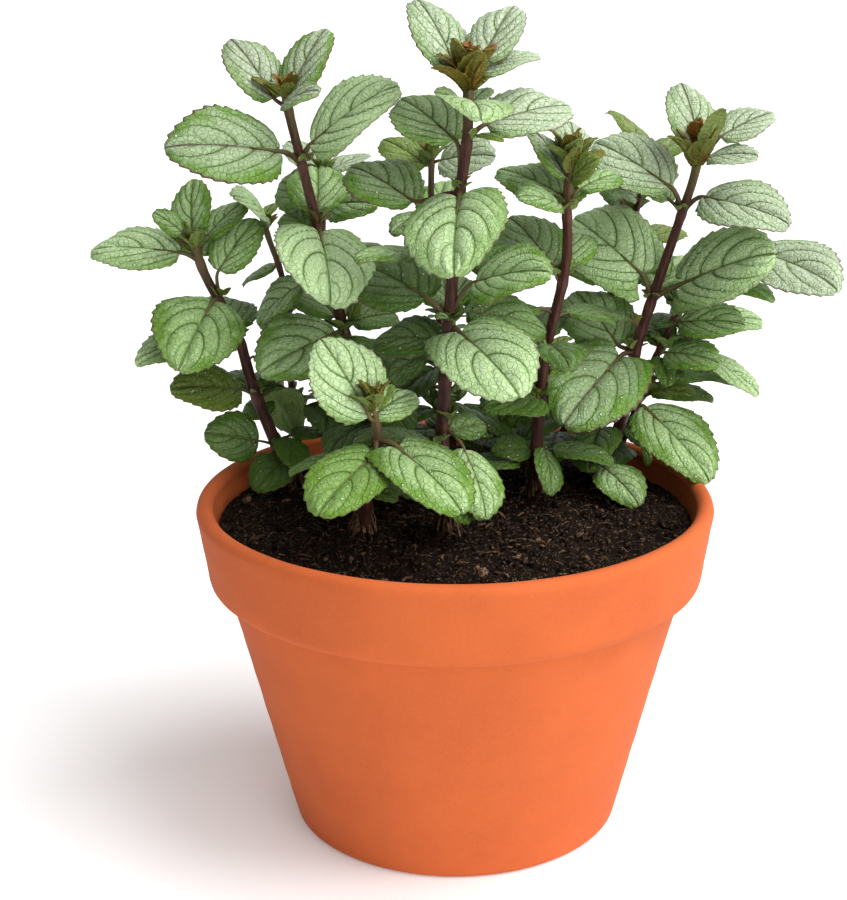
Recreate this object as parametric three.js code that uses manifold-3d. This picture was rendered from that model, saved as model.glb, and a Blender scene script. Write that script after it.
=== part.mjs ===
// A mint plant in a clay pot: the pot, the soil that fills it, and eleven leafy stems, each one grown piece.
// Millimetres, +Z up. The origin is the middle of the pot's base, on the surface that it stands on, and -Y
// is the front. A bearing turns from +X towards +Y, and a rise is measured up from the level.
import * as THREE from "three";
import { mergeVertices } from "three/addons/utils/BufferGeometryUtils.js";
import Module from "manifold-3d";

// Pot
const POT_HEIGHT = 106;
const LIP_RADIUS = 80; // outer, at the top of the collar
const LIP_WALL = 5.3;
const COLLAR_BOTTOM = 79; // height where the collar meets the body
const COLLAR_RADIUS = 77; // outer, at the collar's lower edge
const BODY_TOP_RADIUS = 70.8; // just under the collar
const COLLAR_STEP = 1.6; // ledge under the collar
const COLLAR_ROUND = 5; // radius of the collar's lower edge
const BASE_RADIUS = 51.5;
const BASE_ROUND = 2.5;
const FLOOR = 7;
const WALL = 5.5;
const HOLE_RADIUS = 8; // drainage hole in the floor
const POT_SIDES = 36;
const INNER_AT_COLLAR = LIP_RADIUS - LIP_WALL - 2.2;

// The pot's inside, from the floor up to the collar: radius and height.
const INSIDE = [
  [BASE_RADIUS - WALL - 3, FLOOR],
  [BASE_RADIUS - WALL + 1, FLOOR + 4],
  [BODY_TOP_RADIUS - WALL, COLLAR_BOTTOM - 2],
  [INNER_AT_COLLAR, COLLAR_BOTTOM + 11],
];

// Soil
const SOIL_TOP = 98;
const SOIL_CROWN = 1.2; // the middle is higher than the edge by this much
const SOIL_GAP = 0.35; // between soil and clay
const SOIL_RINGS = [66, 55, 44, 33, 22, 11]; // radii of the rings that its clods stand on
const SOIL_SIDES = 30;
const HEAP = 2; // height of the small heap round each stem
const HEAP_REACH = 7;

// The main clods of the soil, and hollows where the height is negative: x, y, reach and height.
const CLODS = [
  [-27, -27, 9, 1.6], [-3, -25, 8, 1.4], [-9, -48, 12, 2.2], [-46, -26, 13, 2], [26, -36, 11, 2],
  [36, -10, 12, 1.8], [56, 6, 10, 1.8], [-8, 28, 12, 1.8], [24, 34, 10, 1.4], [-40, 6, 10, 1.6],
  [12, -8, 9, -2], [10, -30, 9, -1.8], [-38, -8, 8, -1.6], [-20, -52, 9, -1.4], [44, -34, 10, -1.6],
];

// Stems
const ROOTED_TO = 84; // the stems' lower ends, inside the soil
const CLEAR_OF_SOIL = 101; // up to here a stem stands upright
const HOLE_CLEARANCE = 0.45;
const HOLE_SIDES = 6;
const STEM_SIDES = 4;
const TOP_INSET = 1.5; // a stalk leaves its stem at least this far below the top

// Leaves
const BLADE = 0.75; // thickness
const FOLD = 10; // degrees that each half rises from the midrib
const DROOP = 22; // degrees that the midrib bends from stalk to tip
const STALK_AT_STEM = 0.8; // half of the stalk's thickness where it leaves the stem
const STALK_FROM = 0.5; // the stalk's end lies this far out from the middle of the stem
const NECK = 0.6; // half of its width where it meets the blade
const CLEARANCE = 0.55; // kept by a blade to anything that it isn't joined to

// The stems. Width: at the soil and at the top. Route: points from the soil up. Leaf: the height where its
// stalk leaves the stem; the stalk's length, bearing and rise; the blade's bearing, rise, roll, length
// and width.
const STEMS = [
  {
    name: "stem_left",
    width: [3.6, 2.4],
    route: [[-52, 25, 97], [-58, 26, 118], [-63, 27, 128], [-69, 28, 154], [-75, 29, 161], [-82, 30, 179]],
    leaves: [
      [178, 5, 255, 80, 90, 58, -24, 19, 14],
      [178, 7, 210, 55, 218, 38, -64, 12, 8],
      [173, 7, 180, 25, 170, -4, -28, 30, 22],
      [173, 5, 116, 50, 136, 28, 4, 12.6, 9.1],
      [173, 9, 60, 60, 36, 33, 8, 18, 14],
      [161, 10, 325, 80, 44, 42, 20, 22, 16],
      [161, 3, 255, 5, 256, -22, -16, 34, 29],
      [147, 7, 200, 20, 204, -6, -12, 29, 22],
      [129, 6, 190, 35, 210, 10, -40, 24, 19],
      [129, 6, 38, 15, 52, -53, -40, 20, 16],
      [113, 7, 200, 25, 196, 14, -60, 18, 17],
      [113, 11, 129, 65, 126, 6, -32, 13.6, 10.4],
      [113, 5, 320, 50, 292, -26, -12, 15, 12],
      [108, 3, 294, 45, 240, -18, -32, 18, 14],
      [172, 5, 100, 35, 100, 24, 0, 18, 14],
      [147, 8, 110, 35, 110, 10, 0, 26, 20],
      [129, 7, 95, 35, 95, -8, 0, 24, 18],
      [113, 6, 25, 35, 25, -6, 0, 20, 15],
    ],
  },
  {
    name: "stem_left_tall",
    width: [3.6, 2.4],
    route: [[-21, 19, 97], [-31, 19, 139], [-51, 20, 227]],
    leaves: [
      [225, 3, 166, 40, 172, 34, -8, 9.6, 6.4],
      [225, 4, 0, 85, 310, 42, -8, 7, 4],
      [222, 6, 155, 35, 142, 36, -16, 23, 17],
      [222, 5, 52, 75, 40, 47, 8, 23, 17],
      [222, 4, 250, 35, 322, 22, 32, 15, 12],
      [205, 9, 210, 35, 208, 8, -44, 37, 29],
      [205, 8, 330, 60, 338, 30, 44, 34, 26],
      [186, 3, 285, -15, 278, -22, -12, 36, 32],
      [186, 5, 130, -10, 124, 10, -24, 15, 12],
      [163, 12, 175, 25, 158, -40, -40, 22, 17],
      [152, 4, 225, 20, 226, -10, -36, 32, 27],
      [152, 2, 290, -5, 294, -22, -8, 26, 21],
      [152, 5, 55, 40, 36, 0, 20, 18, 14],
      [152, 4, 0, 60, 342, 72, 60, 10, 6],
      [186, 8, 92, 35, 92, 24, 0, 26, 20],
      [152, 8, 118, 35, 118, 10, 0, 26, 20],
      [139, 7, 70, 35, 70, 0, 0, 24, 18],
      [128, 7, 300, 35, 300, -8, 0, 23, 17],
      [120, 6, 240, 35, 240, -8, 0, 20, 15],
      [111, 6, 330, 35, 330, -4, -20, 21, 16],
    ],
  },
  {
    name: "stem_centre_tall",
    width: [3.8, 2.6],
    route: [[-2, -20, 97], [-4, -18, 116], [-4, -17, 133], [1, -11, 201], [4, -10, 216], [4, -8, 233]],
    leaves: [
      [232, 4, 235, 70, 242, 62, -16, 14, 8],
      [232, 4, 60, 70, 76, 52, -40, 16, 9],
      [232, 4, 265, 60, 322, 50, -4, 13, 8],
      [229, 8, 145, 65, 130, 36, 0, 27, 20],
      [229, 12, 0, 70, 52, 30, 4, 22, 17],
      [229, 8, 35, 65, 32, 12, 8, 22, 16],
      [229, 3, 197, -5, 216, 21, -52, 9, 6],
      [229, 4, 75, -30, 56, 21, 4, 11, 8],
      [216, 8, 20, 45, 26, 8, 24, 29, 23],
      [226, 4, 290, 40, 275, -2, -6, 22, 22],
      [216, 4, 0, 45, 324, -5, 8, 9, 6],
      [202, 16, 110, 75, 130, 14, -20, 26, 21],
      [202, 4, 270, -5, 266, -22, 10, 37, 30],
      [202, 14, 170, -10, 136, 16, -20, 28, 22],
      [179, 7, 40, 20, 18, -8, 24, 25, 19],
      [163, 11, 165, 50, 132, 10, -28, 32, 27],
      [163, 16, 345, 60, 318, 16, 40, 28, 23],
      [163, 5, 310, -10, 300, -18, 16, 34, 29],
      [163, 8, 45, 25, 14, -16, 28, 27, 21],
      [147, 12, 115, 75, 154, -6, -28, 23, 19],
      [147, 10, 160, 50, 146, -36, -52, 17, 14],
      [133, 3, 340, -15, 38, -4, 40, 14, 10],
      [133, 10, 330, -40, 290, -40, -24, 24, 19],
      [179, 8, 205, 35, 205, 8, 0, 25, 19],
      [163, 8, 93, 35, 93, 10, 0, 25, 19],
      [148, 7, 30, 35, 30, -7, 0, 24, 18],
      [126, 7, 204, 35, 204, 8, 0, 23, 17],
      [115, 5, 290, 20, 285, -20, -20, 18, 15],
    ],
  },
  {
    name: "stem_centre_right",
    width: [3.6, 2.4],
    route: [[25, 14, 97], [26, 13, 116], [28, 12, 147], [35, 11, 176], [34, 10, 200], [36, 10, 208]],
    leaves: [
      [208, 2, 235, -45, 276, 56, 40, 10, 6],
      [200, 3, 260, 70, 128, 40, 8, 20, 14],
      [200, 11, 60, 65, 92, 34, 20, 14, 13],
      [200, 3, 330, 55, 312, 36, 60, 13, 10],
      [200, 7, 32, 50, 36, 25, 4, 11, 7],
      [191, 9, 0, 65, 42, 8, 12, 18, 14],
      [191, 7, 135, 65, 144, 14, -24, 24, 18],
      [191, 6, 226, 45, 224, 16, -32, 18, 14],
      [170, 7, 165, 55, 122, 26, -8, 26, 21],
      [132, 2, 265, 35, 224, 6, -24, 25, 19],
      [116, 2, 179, 0, 196, 4, -32, 13, 12],
      [116, 3, 325, 5, 276, -38, -40, 17, 13],
      [191, 6, 88, 35, 88, 24, 0, 20, 15],
      [170, 7, 80, 35, 80, 16, 0, 24, 18],
      [147, 8, 95, 35, 95, 8, 0, 25, 19],
      [147, 8, 280, 35, 280, 2, 0, 25, 19],
      [109, 5, 130, 40, 130, 4, 0, 19, 14],
    ],
  },
  {
    name: "stem_right",
    width: [3.6, 2.4],
    route: [[44, 37, 97], [52, 35, 110], [56, 34, 121], [58, 32, 142], [76, 24, 205]],
    leaves: [
      [204, 5, 270, 80, 106, 46, 8, 24, 18],
      [204, 11, 2, 50, 14, 16, 28, 18, 14],
      [204, 4, 340, 40, 324, 9, 20, 17, 12],
      [204, 6, 305, 65, 300, 62, 4, 16, 9],
      [204, 5, 50, 75, 80, 48, -56, 14, 8],
      [188, 10, 190, 65, 146, 24, -28, 30, 23],
      [188, 9, 345, 35, 322, -12, 24, 30, 24],
      [159, 10, 165, 70, 134, 26, -36, 33, 28],
      [159, 12, 340, 35, 324, 25, 48, 34, 28],
      [142, 6, 220, 0, 234, -22, -24, 36, 30],
      [142, 6, 150, 20, 122, 29, -24, 28, 24],
      [121, 8, 325, 25, 310, -30, 8, 34, 27],
      [121, 10, 200, -25, 256, -18, 16, 22, 19],
      [108, 20, 262, 2, 300, -19, 10, 20, 16],
      [188, 7, 130, 35, 130, 22, 0, 24, 18],
      [158, 8, 60, 35, 60, 12, 0, 27, 21],
      [150, 7, 195, 35, 195, 11, 0, 22, 17],
      [141, 7, 80, 35, 80, 0, 0, 24, 18],
      [119, 6, 95, 35, 95, -8, 0, 21, 16],
    ],
  },
  {
    name: "stem_right_thin",
    width: [2.2, 1.6],
    route: [
      [50, 44, 97], [57, 42, 110], [65, 36, 139], [71, 34, 152],
      [73, 32, 161], [80, 31, 169], [93, 30, 175],
    ],
    leaves: [
      [174, 6, 350, 20, 306, -8, 20, 35, 26],
      [152, 2, 330, -5, 330, 6, 28, 22, 17],
      [152, 6, 20, -20, 4, -4, 16, 22, 16],
      [152, 14, 5, -45, 328, -24, 0, 23, 16],
      [140, 4, 345, 20, 318, 1, 28, 20, 16],
      [140, 2, 305, -5, 280, -34, -24, 12, 9],
      [124, 6, 8, 40, 332, -2, 20, 16, 12],
      [110, 6, 350, 5, 278, -39, -44, 11, 6],
      [110, 6, 251, 65, 314, -32, -4, 10, 8],
      [163, 7, 330, 35, 330, -8, 0, 24, 18],
      [139, 7, 60, 35, 60, -7, 0, 24, 18],
      [123, 6, 350, 35, 350, 0, 0, 20, 15],
    ],
  },
  {
    name: "stem_back_centre",
    width: [2.4, 1.7],
    route: [[2, 40, 97], [-2, 41, 117], [-7, 46, 196], [-6, 46, 204]],
    leaves: [
      [201, 2, 180, -15, 140, 20, -16, 20, 15],
      [201, 3, 0, 20, 328, 10, 44, 20, 17],
      [180, 7, 195, 50, 228, -18, -12, 14, 10],
      [179, 7, 80, 35, 80, 24, 0, 22, 17],
      [156, 8, 120, 35, 120, 12, 0, 25, 19],
      [142, 8, 255, 35, 255, 4, 0, 25, 19],
      [130, 8, 70, 35, 70, 0, 0, 25, 19],
      [121, 7, 320, 20, 315, -14, -10, 25, 20],
      [118, 7, 220, 35, 220, -6, 0, 22, 17],
      [109, 6, 20, 40, 20, 0, 0, 20, 15],
      [110, 6, 200, 40, 200, 2, 0, 20, 15],
    ],
  },
  {
    name: "stem_back_left",
    width: [2.4, 1.7],
    route: [[-32, 44, 97], [-39, 46, 123], [-42, 49, 183], [-41, 50, 198]],
    leaves: [
      [195, 4, 110, 55, 140, 29, -12, 17, 14],
      [195, 4, 19, 50, 28, 18, 8, 15, 13],
      [189, 2, 180, 25, 134, 10, -56, 19, 18],
      [189, 3, 320, -25, 322, 8, 44, 20, 16],
      [182, 5, 80, 35, 80, 24, 0, 18, 14],
      [155, 7, 95, 35, 95, 12, 0, 24, 18],
      [128, 8, 120, 35, 120, 0, 0, 25, 19],
      [120, 7, 265, 35, 265, -6, 0, 23, 17],
    ],
  },
  {
    name: "stem_far_left",
    width: [2.2, 1.6],
    route: [[-50, 42, 97], [-53, 43, 131], [-54, 44, 165], [-61, 45, 182]],
    leaves: [
      [179, 6, 266, 80, 240, 24, -44, 16, 13],
      [179, 6, 194, 90, 70, 16, -8, 9, 5],
      [169, 3, 130, -25, 152, -28, -24, 15, 9],
      [150, 7, 76, 35, 76, 10, 0, 24, 18],
      [124, 7, 150, 35, 150, -11, 0, 24, 18],
      [122, 7, 332, 35, 332, 5, 0, 20, 15],
    ],
  },
  {
    name: "stem_back_right",
    width: [2.4, 1.7],
    route: [[30, 48, 97], [46, 50, 128], [64, 54, 200]],
    leaves: [
      [199, 5, 180, 85, 130, 34, 16, 21, 14],
      [199, 3, 35, 60, 38, 15, 4, 17, 14],
      [188, 3, 235, 10, 218, 28, -44, 12, 8],
      [188, 2, 300, 50, 316, 30, 40, 12, 8],
      [183, 9, 0, -70, 28, 4, 12, 17, 14],
      [181, 5, 110, 35, 110, 26, 0, 18, 14],
      [156, 7, 50, 35, 50, 14, 0, 24, 18],
      [156, 7, 142, 35, 142, 19, 0, 24, 18],
      [130, 7, 90, 35, 90, 0, 0, 24, 18],
      [128, 7, 235, 20, 215, -14, -16, 34, 26],
    ],
  },
  {
    name: "stem_front",
    width: [3.0, 2.0],
    route: [[-28, -22, 97], [-27, -26, 110], [-25, -30, 124], [-21, -33, 133], [-25, -36, 145]],
    leaves: [
      [144, 1, 180, 25, 256, 62, -40, 12, 8],
      [144, 1, 75, 5, 72, 32, -28, 9, 5],
      [139, 4, 220, 45, 154, 55, -40, 27, 23],
      [139, 3, 145, 55, 44, 12, 20, 18, 15],
      [134, 6, 240, -35, 238, -16, -12, 30, 24],
      [134, 6, 315, -10, 308, -20, 8, 32, 25],
      [113, 5, 300, 65, 328, -10, 20, 10, 7],
      [124, 6, 190, 35, 190, -6, 0, 20, 15],
      [124, 5, 350, 35, 350, -6, 0, 18, 14],
    ],
  },
];

const COLOURS = {
  pot: 0xc4703f,
  soil: 0x2c211b,
  leaf: 0x6f9a52,
};

const radians = THREE.MathUtils.degToRad;
const wasm = await Module();
wasm.setup();

// A closed surface as a solid that can be joined and cut.
function solidOf(geometry) {
  const bare = new THREE.BufferGeometry();
  bare.setAttribute("position", geometry.getAttribute("position"));
  bare.setIndex(geometry.getIndex());
  const merged = mergeVertices(bare, 1e-4);
  return new wasm.Manifold(
    new wasm.Mesh({
      numProp: 3,
      vertProperties: new Float32Array(merged.getAttribute("position").array),
      triVerts: new Uint32Array(merged.getIndex().array),
    }),
  );
}

// Vertices and triangles as a solid.
function solidFrom(vertices, triangles) {
  return new wasm.Manifold(
    new wasm.Mesh({
      numProp: 3,
      vertProperties: new Float32Array(vertices.flatMap((v) => v.toArray())),
      triVerts: new Uint32Array(triangles.flat()),
    }),
  );
}

function meshOf(name, solid, colour, roughness) {
  const { vertProperties, triVerts } = solid.getMesh();
  const geometry = new THREE.BufferGeometry();
  geometry.setAttribute("position", new THREE.BufferAttribute(vertProperties, 3));
  geometry.setIndex(new THREE.BufferAttribute(triVerts, 1));
  geometry.computeVertexNormals();
  const material = new THREE.MeshStandardMaterial({ color: colour, roughness, metalness: 0 });
  const mesh = new THREE.Mesh(geometry, material);
  mesh.name = name;
  return mesh;
}

// A profile of [radius, height] points turned about +Z. It runs anticlockwise, with the outside on its right.
function turned(profile, sides) {
  const points = profile.map(([radius, height]) => new THREE.Vector2(radius, height));
  return new THREE.LatheGeometry(points, sides).rotateX(Math.PI / 2);
}

// A round edge in a profile, from one angle to another, both in degrees.
function round(centre, radius, from, to, steps) {
  return Array.from({ length: steps + 1 }, (_, i) => {
    const angle = radians(from + ((to - from) * i) / steps);
    return [centre[0] + radius * Math.cos(angle), centre[1] + radius * Math.sin(angle)];
  });
}

function pot() {
  const lip = LIP_WALL / 2;
  const outline = [
    [HOLE_RADIUS, 0],
    ...round([BASE_RADIUS - BASE_ROUND, BASE_ROUND], BASE_ROUND, -90, 0, 1),
    [BODY_TOP_RADIUS, COLLAR_BOTTOM],
    [BODY_TOP_RADIUS + COLLAR_STEP, COLLAR_BOTTOM],
    ...round([COLLAR_RADIUS - COLLAR_ROUND, COLLAR_BOTTOM + 5.4], COLLAR_ROUND, -62, 0, 2),
    ...round([LIP_RADIUS - lip, POT_HEIGHT - lip], lip, 0, 180, 4),
    ...[...INSIDE].reverse(),
    [HOLE_RADIUS, FLOOR],
    [HOLE_RADIUS, 0],
  ];
  return solidOf(turned(outline, POT_SIDES));
}

// The height of the soil's top: a low crown with its clods and the heaps round the stems, which all fade out
// at the rim.
function soilHeight(x, y) {
  const mound = (centre, reach) => Math.exp(-((Math.hypot(x - centre[0], y - centre[1]) / reach) ** 2));
  const radius = Math.hypot(x, y);
  const clods = CLODS.reduce((sum, [cx, cy, reach, height]) => sum + height * mound([cx, cy], reach), 0);
  const heap = HEAP * Math.max(...STEMS.map(({ route }) => mound(route[0], HEAP_REACH)));
  const fade = Math.min(1, Math.max(0, (74 - radius) / 8));
  return SOIL_TOP + SOIL_CROWN * (1 - (radius / 75) ** 2) + fade * (clods + heap);
}

function soil() {
  const rim = [INNER_AT_COLLAR + 1.1, SOIL_TOP - SOIL_GAP];
  const side = [...INSIDE, rim].map(([radius, height]) => [radius - SOIL_GAP, height + SOIL_GAP]);
  const top = [...SOIL_RINGS, 0].map((radius) => [radius, SOIL_TOP]);
  const geometry = turned([[0, FLOOR + SOIL_GAP], ...side, ...top], SOIL_SIDES);
  const place = geometry.getAttribute("position");
  for (let i = 0; i < place.count; i++) {
    if (place.getZ(i) > SOIL_TOP - 1) {
      place.setZ(i, soilHeight(place.getX(i), place.getY(i)));
    }
  }
  const bottom = ROOTED_TO - HOLE_CLEARANCE;
  const depth = SOIL_TOP + 10 - bottom;
  const holes = STEMS.map(({ route, width }) => {
    const radius = (width[0] * Math.SQRT1_2 + HOLE_CLEARANCE) / Math.cos(Math.PI / HOLE_SIDES);
    const hole = new THREE.CylinderGeometry(radius, radius, depth, HOLE_SIDES).rotateX(Math.PI / 2);
    return solidOf(hole.translate(route[0][0], route[0][1], bottom + depth / 2));
  });
  return solidOf(geometry).subtract(wasm.Manifold.union(holes));
}

const vector = (bearing, rise) =>
  new THREE.Vector3(
    Math.cos(radians(rise)) * Math.cos(radians(bearing)),
    Math.cos(radians(rise)) * Math.sin(radians(bearing)),
    Math.sin(radians(rise)),
  );

// The point of a stem at a height, a little below its top at most.
function pointAt(route, wanted) {
  const height = Math.min(wanted, route[route.length - 1].z - TOP_INSET);
  const next = Math.max(1, route.findIndex((point) => point.z >= height));
  const [low, high] = [route[next - 1], route[next]];
  return low.clone().lerp(high, THREE.MathUtils.clamp((height - low.z) / (high.z - low.z), 0, 1));
}

// A prism of a few sides along points, with a radius at each.
function prism(points, radii, sides) {
  const last = points.length - 1;
  const rings = points.flatMap((point, i) => {
    const along = points[Math.min(i + 1, last)].clone().sub(points[Math.max(i - 1, 0)]).normalize();
    const aside = new THREE.Vector3(0.6, 0.8, 0).cross(along).normalize();
    const across = along.clone().cross(aside);
    return Array.from({ length: sides }, (_, k) => {
      const turn = (2 * Math.PI * k) / sides;
      return point.clone()
        .addScaledVector(aside, radii[i] * Math.cos(turn))
        .addScaledVector(across, radii[i] * Math.sin(turn));
    });
  });
  const triangles = [];
  for (let k = 0; k < sides; k++) {
    const other = (k + 1) % sides;
    for (let i = 0; i < last; i++) {
      const [a, b] = [i * sides, (i + 1) * sides];
      triangles.push([a + k, a + other, b + other], [a + k, b + other, b + k]);
    }
    if (k > 0 && k < sides - 1) {
      triangles.push([0, k + 1, k], [last * sides, last * sides + k, last * sides + k + 1]);
    }
  }
  return solidFrom(rings, triangles);
}

// Half the blade's width at a share of its length: a round base, widest below the middle, a blunt tip.
const halfWidth = (share, width) => (width / 2) * Math.sin(Math.PI * share ** 0.78) ** 0.62;

// The frame of a blade: its chord, its left side and its upper face.
function bladeFrame(bearing, rise, roll) {
  const chord = vector(bearing, rise);
  const level = vector(bearing + 90, 0);
  const up = chord.clone().cross(level);
  return {
    chord,
    side: level.clone().multiplyScalar(Math.cos(radians(roll))).addScaledVector(up, Math.sin(radians(roll))),
    face: up.clone().multiplyScalar(Math.cos(radians(roll))).addScaledVector(level, -Math.sin(radians(roll))),
  };
}

// The place on a blade's middle surface, and the way that its face looks there. The midrib is an arc.
function onBlade(base, frame, length, share, across) {
  const bend = radians(DROOP);
  const slope = bend / 2 - bend * share;
  const scale = length / (2 * Math.sin(bend / 2));
  const out = scale * (Math.sin(bend / 2) - Math.sin(slope));
  const up = scale * (Math.cos(slope) - Math.cos(bend / 2));
  const face = frame.face.clone().multiplyScalar(Math.cos(slope));
  face.addScaledVector(frame.chord, -Math.sin(slope));
  const place = base.clone()
    .addScaledVector(frame.chord, out)
    .addScaledVector(frame.face, up)
    .addScaledVector(frame.side, across * Math.cos(radians(FOLD)))
    .addScaledVector(face, Math.abs(across) * Math.sin(radians(FOLD)));
  return { place, face };
}

// Teeth along one side of a blade, fewer on a small one.
const teethOf = (length) => (length > 30 ? 4 : length > 19 ? 3 : 2);

// The four corners of a stalk's end in the stem, turned from the blade's frame to look along the stalk.
function stalkEnd(start, base, frame) {
  const along = base.clone().sub(start).normalize();
  const turn = new THREE.Quaternion().setFromUnitVectors(frame.chord, along);
  const side = frame.side.clone().applyQuaternion(turn).multiplyScalar(STALK_AT_STEM);
  const face = frame.face.clone().applyQuaternion(turn).multiplyScalar(STALK_AT_STEM);
  const from = start.clone().addScaledVector(along, STALK_FROM);
  return [[1, 1], [-1, 1], [1, -1], [-1, -1]].map(([left, up]) =>
    from.clone().addScaledVector(side, left).addScaledVector(face, up),
  );
}

// A toothed blade, split into triangles alike on both faces, with its stalk if a start is given.
function blade(base, frame, length, width, thickness, start) {
  const teeth = teethOf(length);
  const ribs = teeth > 3 ? [0.25, 0.5, 0.76] : [0.36, 0.7];
  const step = 0.88 / teeth;
  const edge = Array.from({ length: teeth }, (_, i) => [
    [0.05 + i * step, i ? 0.9 : 1],
    [0.05 + (i + 0.8) * step, 1.05],
  ]).flat();
  // The stations: the neck's two sides, the midrib, the tip, then each side's edge.
  const stations = [
    [0, NECK], [0, -NECK], ...ribs.map((share) => [share, 0]), [1, 0],
    ...edge.map(([share, size]) => [share, size * halfWidth(share, width)]),
    ...edge.map(([share, size]) => [share, -size * halfWidth(share, width)]),
  ];
  const count = stations.length;
  const places = stations.map(([share, across]) => onBlade(base, frame, length, share, across));
  const vertices = [1, -1].flatMap((face) =>
    places.map((at) => at.place.clone().addScaledVector(at.face, (face * thickness) / 2)),
  );
  const rib = 1; // the midrib's station i is rib + i, counted from 1
  const tip = rib + ribs.length + 1;
  const triangles = [[0, 1, 2], [count, count + 2, count + 1]];
  for (const side of [0, 1]) {
    const first = tip + 1 + side * edge.length;
    const outer = [side, ...edge.map((_, i) => first + i), tip];
    const add = (a, b, c) => {
      const [p, q] = side ? [c, b] : [b, c];
      triangles.push([a, p, q], [a + count, q + count, p + count]);
    };
    let [i, j] = [1, 1]; // along the edge and along the midrib
    add(side, rib + j, outer[i]);
    while (i < edge.length || j < ribs.length) {
      const nextOnEdge = i < edge.length ? stations[outer[i + 1]][0] : Infinity;
      const nextOnRib = j < ribs.length ? stations[rib + j + 1][0] : Infinity;
      if (nextOnEdge <= nextOnRib) {
        add(rib + j, outer[i + 1], outer[i]);
        i++;
      } else {
        add(rib + j, rib + j + 1, outer[i]);
        j++;
      }
    }
    add(rib + j, tip, outer[i]);
    for (let k = 0; k < outer.length - 1; k++) {
      const [a, b] = side ? [outer[k + 1], outer[k]] : [outer[k], outer[k + 1]];
      triangles.push([a, b, b + count], [a, b + count, a + count]);
    }
  }
  const neck = [1, 0, count, count + 1];
  if (!start) {
    triangles.push([neck[0], neck[1], neck[2]], [neck[0], neck[2], neck[3]]);
  } else {
    const end = [1, 0, 2, 3].map((corner) => vertices.length + corner);
    vertices.push(...stalkEnd(start, base, frame));
    for (let k = 0; k < 4; k++) {
      const other = (k + 1) % 4;
      triangles.push([neck[k], neck[other], end[other]], [neck[k], end[other], end[k]]);
    }
    triangles.push([end[0], end[1], end[2]], [end[0], end[2], end[3]]);
  }
  return solidFrom(vertices, triangles);
}

function stemSolid({ route, width }) {
  const [foot, ...rest] = route;
  const upright = [ROOTED_TO, CLEAR_OF_SOIL].map((height) => new THREE.Vector3(foot.x, foot.y, height));
  const points = [...upright, ...rest];
  const top = points[points.length - 1].z;
  const radii = points.map(({ z }) => {
    const share = Math.max(0, (z - CLEAR_OF_SOIL) / (top - CLEAR_OF_SOIL));
    return (width[0] + (width[1] - width[0]) * share) * Math.SQRT1_2;
  });
  return prism(points, radii, STEM_SIDES);
}

function leafOf(stem, leaf) {
  const [height, stalkLength, stalkBearing, stalkRise, bearing, rise, roll, length, width] = leaf;
  const start = pointAt(stem.route, height);
  const base = start.clone().addScaledVector(vector(stalkBearing, stalkRise), stalkLength);
  const frame = bladeFrame(bearing, rise, roll);
  return {
    whole: blade(base, frame, length, width, BLADE, start),
    blade: blade(base, frame, length, width, BLADE),
    guard: blade(base, frame, length, width, BLADE + 2 * CLEARANCE),
    stalk: prism([start, base], [STALK_AT_STEM, NECK], 3),
  };
}

function boxesMeet(a, b) {
  return [0, 1, 2].every((i) => a.min[i] <= b.max[i] && b.min[i] <= a.max[i]);
}

// What the leaves of other stems must keep clear of, each with its box and the stem that it belongs to.
const placed = [];
function place(solid, owner) {
  placed.push({ solid, owner, box: solid.boundingBox() });
}

function isClear(solid, stem) {
  const box = solid.boundingBox();
  const others = placed.filter(({ owner, box: other }) => owner !== stem && boxesMeet(box, other));
  return others.every((other) => solid.intersect(other.solid).isEmpty());
}

// Adds a leaf to its stem. A leaf that comes too near another stem's parts, the soil or the pot is an error.
function addLeaf(stem, leaf) {
  const made = leafOf(stem, leaf);
  if (!isClear(made.guard, stem) || !isClear(made.stalk, stem)) {
    throw new Error(`a leaf of ${stem.name} isn't clear of its neighbours: ${leaf}`);
  }
  place(made.blade, stem);
  place(made.stalk, stem);
  stem.parts.push(made.whole);
}

const plant = new THREE.Group();
plant.name = "potted_mint";
const clay = pot();
const earth = soil();
place(clay, null);
place(earth, null);
const stems = STEMS.map((stem) => {
  const route = stem.route.map((point) => new THREE.Vector3(...point));
  return { ...stem, route, parts: [] };
});
for (const stem of stems) {
  stem.parts.push(stemSolid(stem));
  place(stem.parts[0], stem);
}
for (const stem of stems) {
  stem.leaves.forEach((leaf) => addLeaf(stem, leaf));
}

plant.add(meshOf("pot", clay, COLOURS.pot, 0.9));
plant.add(meshOf("soil", earth, COLOURS.soil, 1));
for (const stem of stems) {
  // Joining may leave a loose scrap beside the stem, which is dropped.
  const bodies = wasm.Manifold.union(stem.parts).decompose();
  bodies.sort((a, b) => b.volume() - a.volume());
  plant.add(meshOf(stem.name, bodies[0], COLOURS.leaf, 0.6));
}

export default plant;
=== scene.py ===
"""A mint plant in a clay pot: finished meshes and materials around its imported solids.

The tables hold millimetres and degrees in the part's own frame: +Z up, the origin in the middle of the pot's
base, -Y the front. A bearing turns from +X towards +Y and a rise is measured up from the level. Meshes are
in metres.
"""

import math

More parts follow.
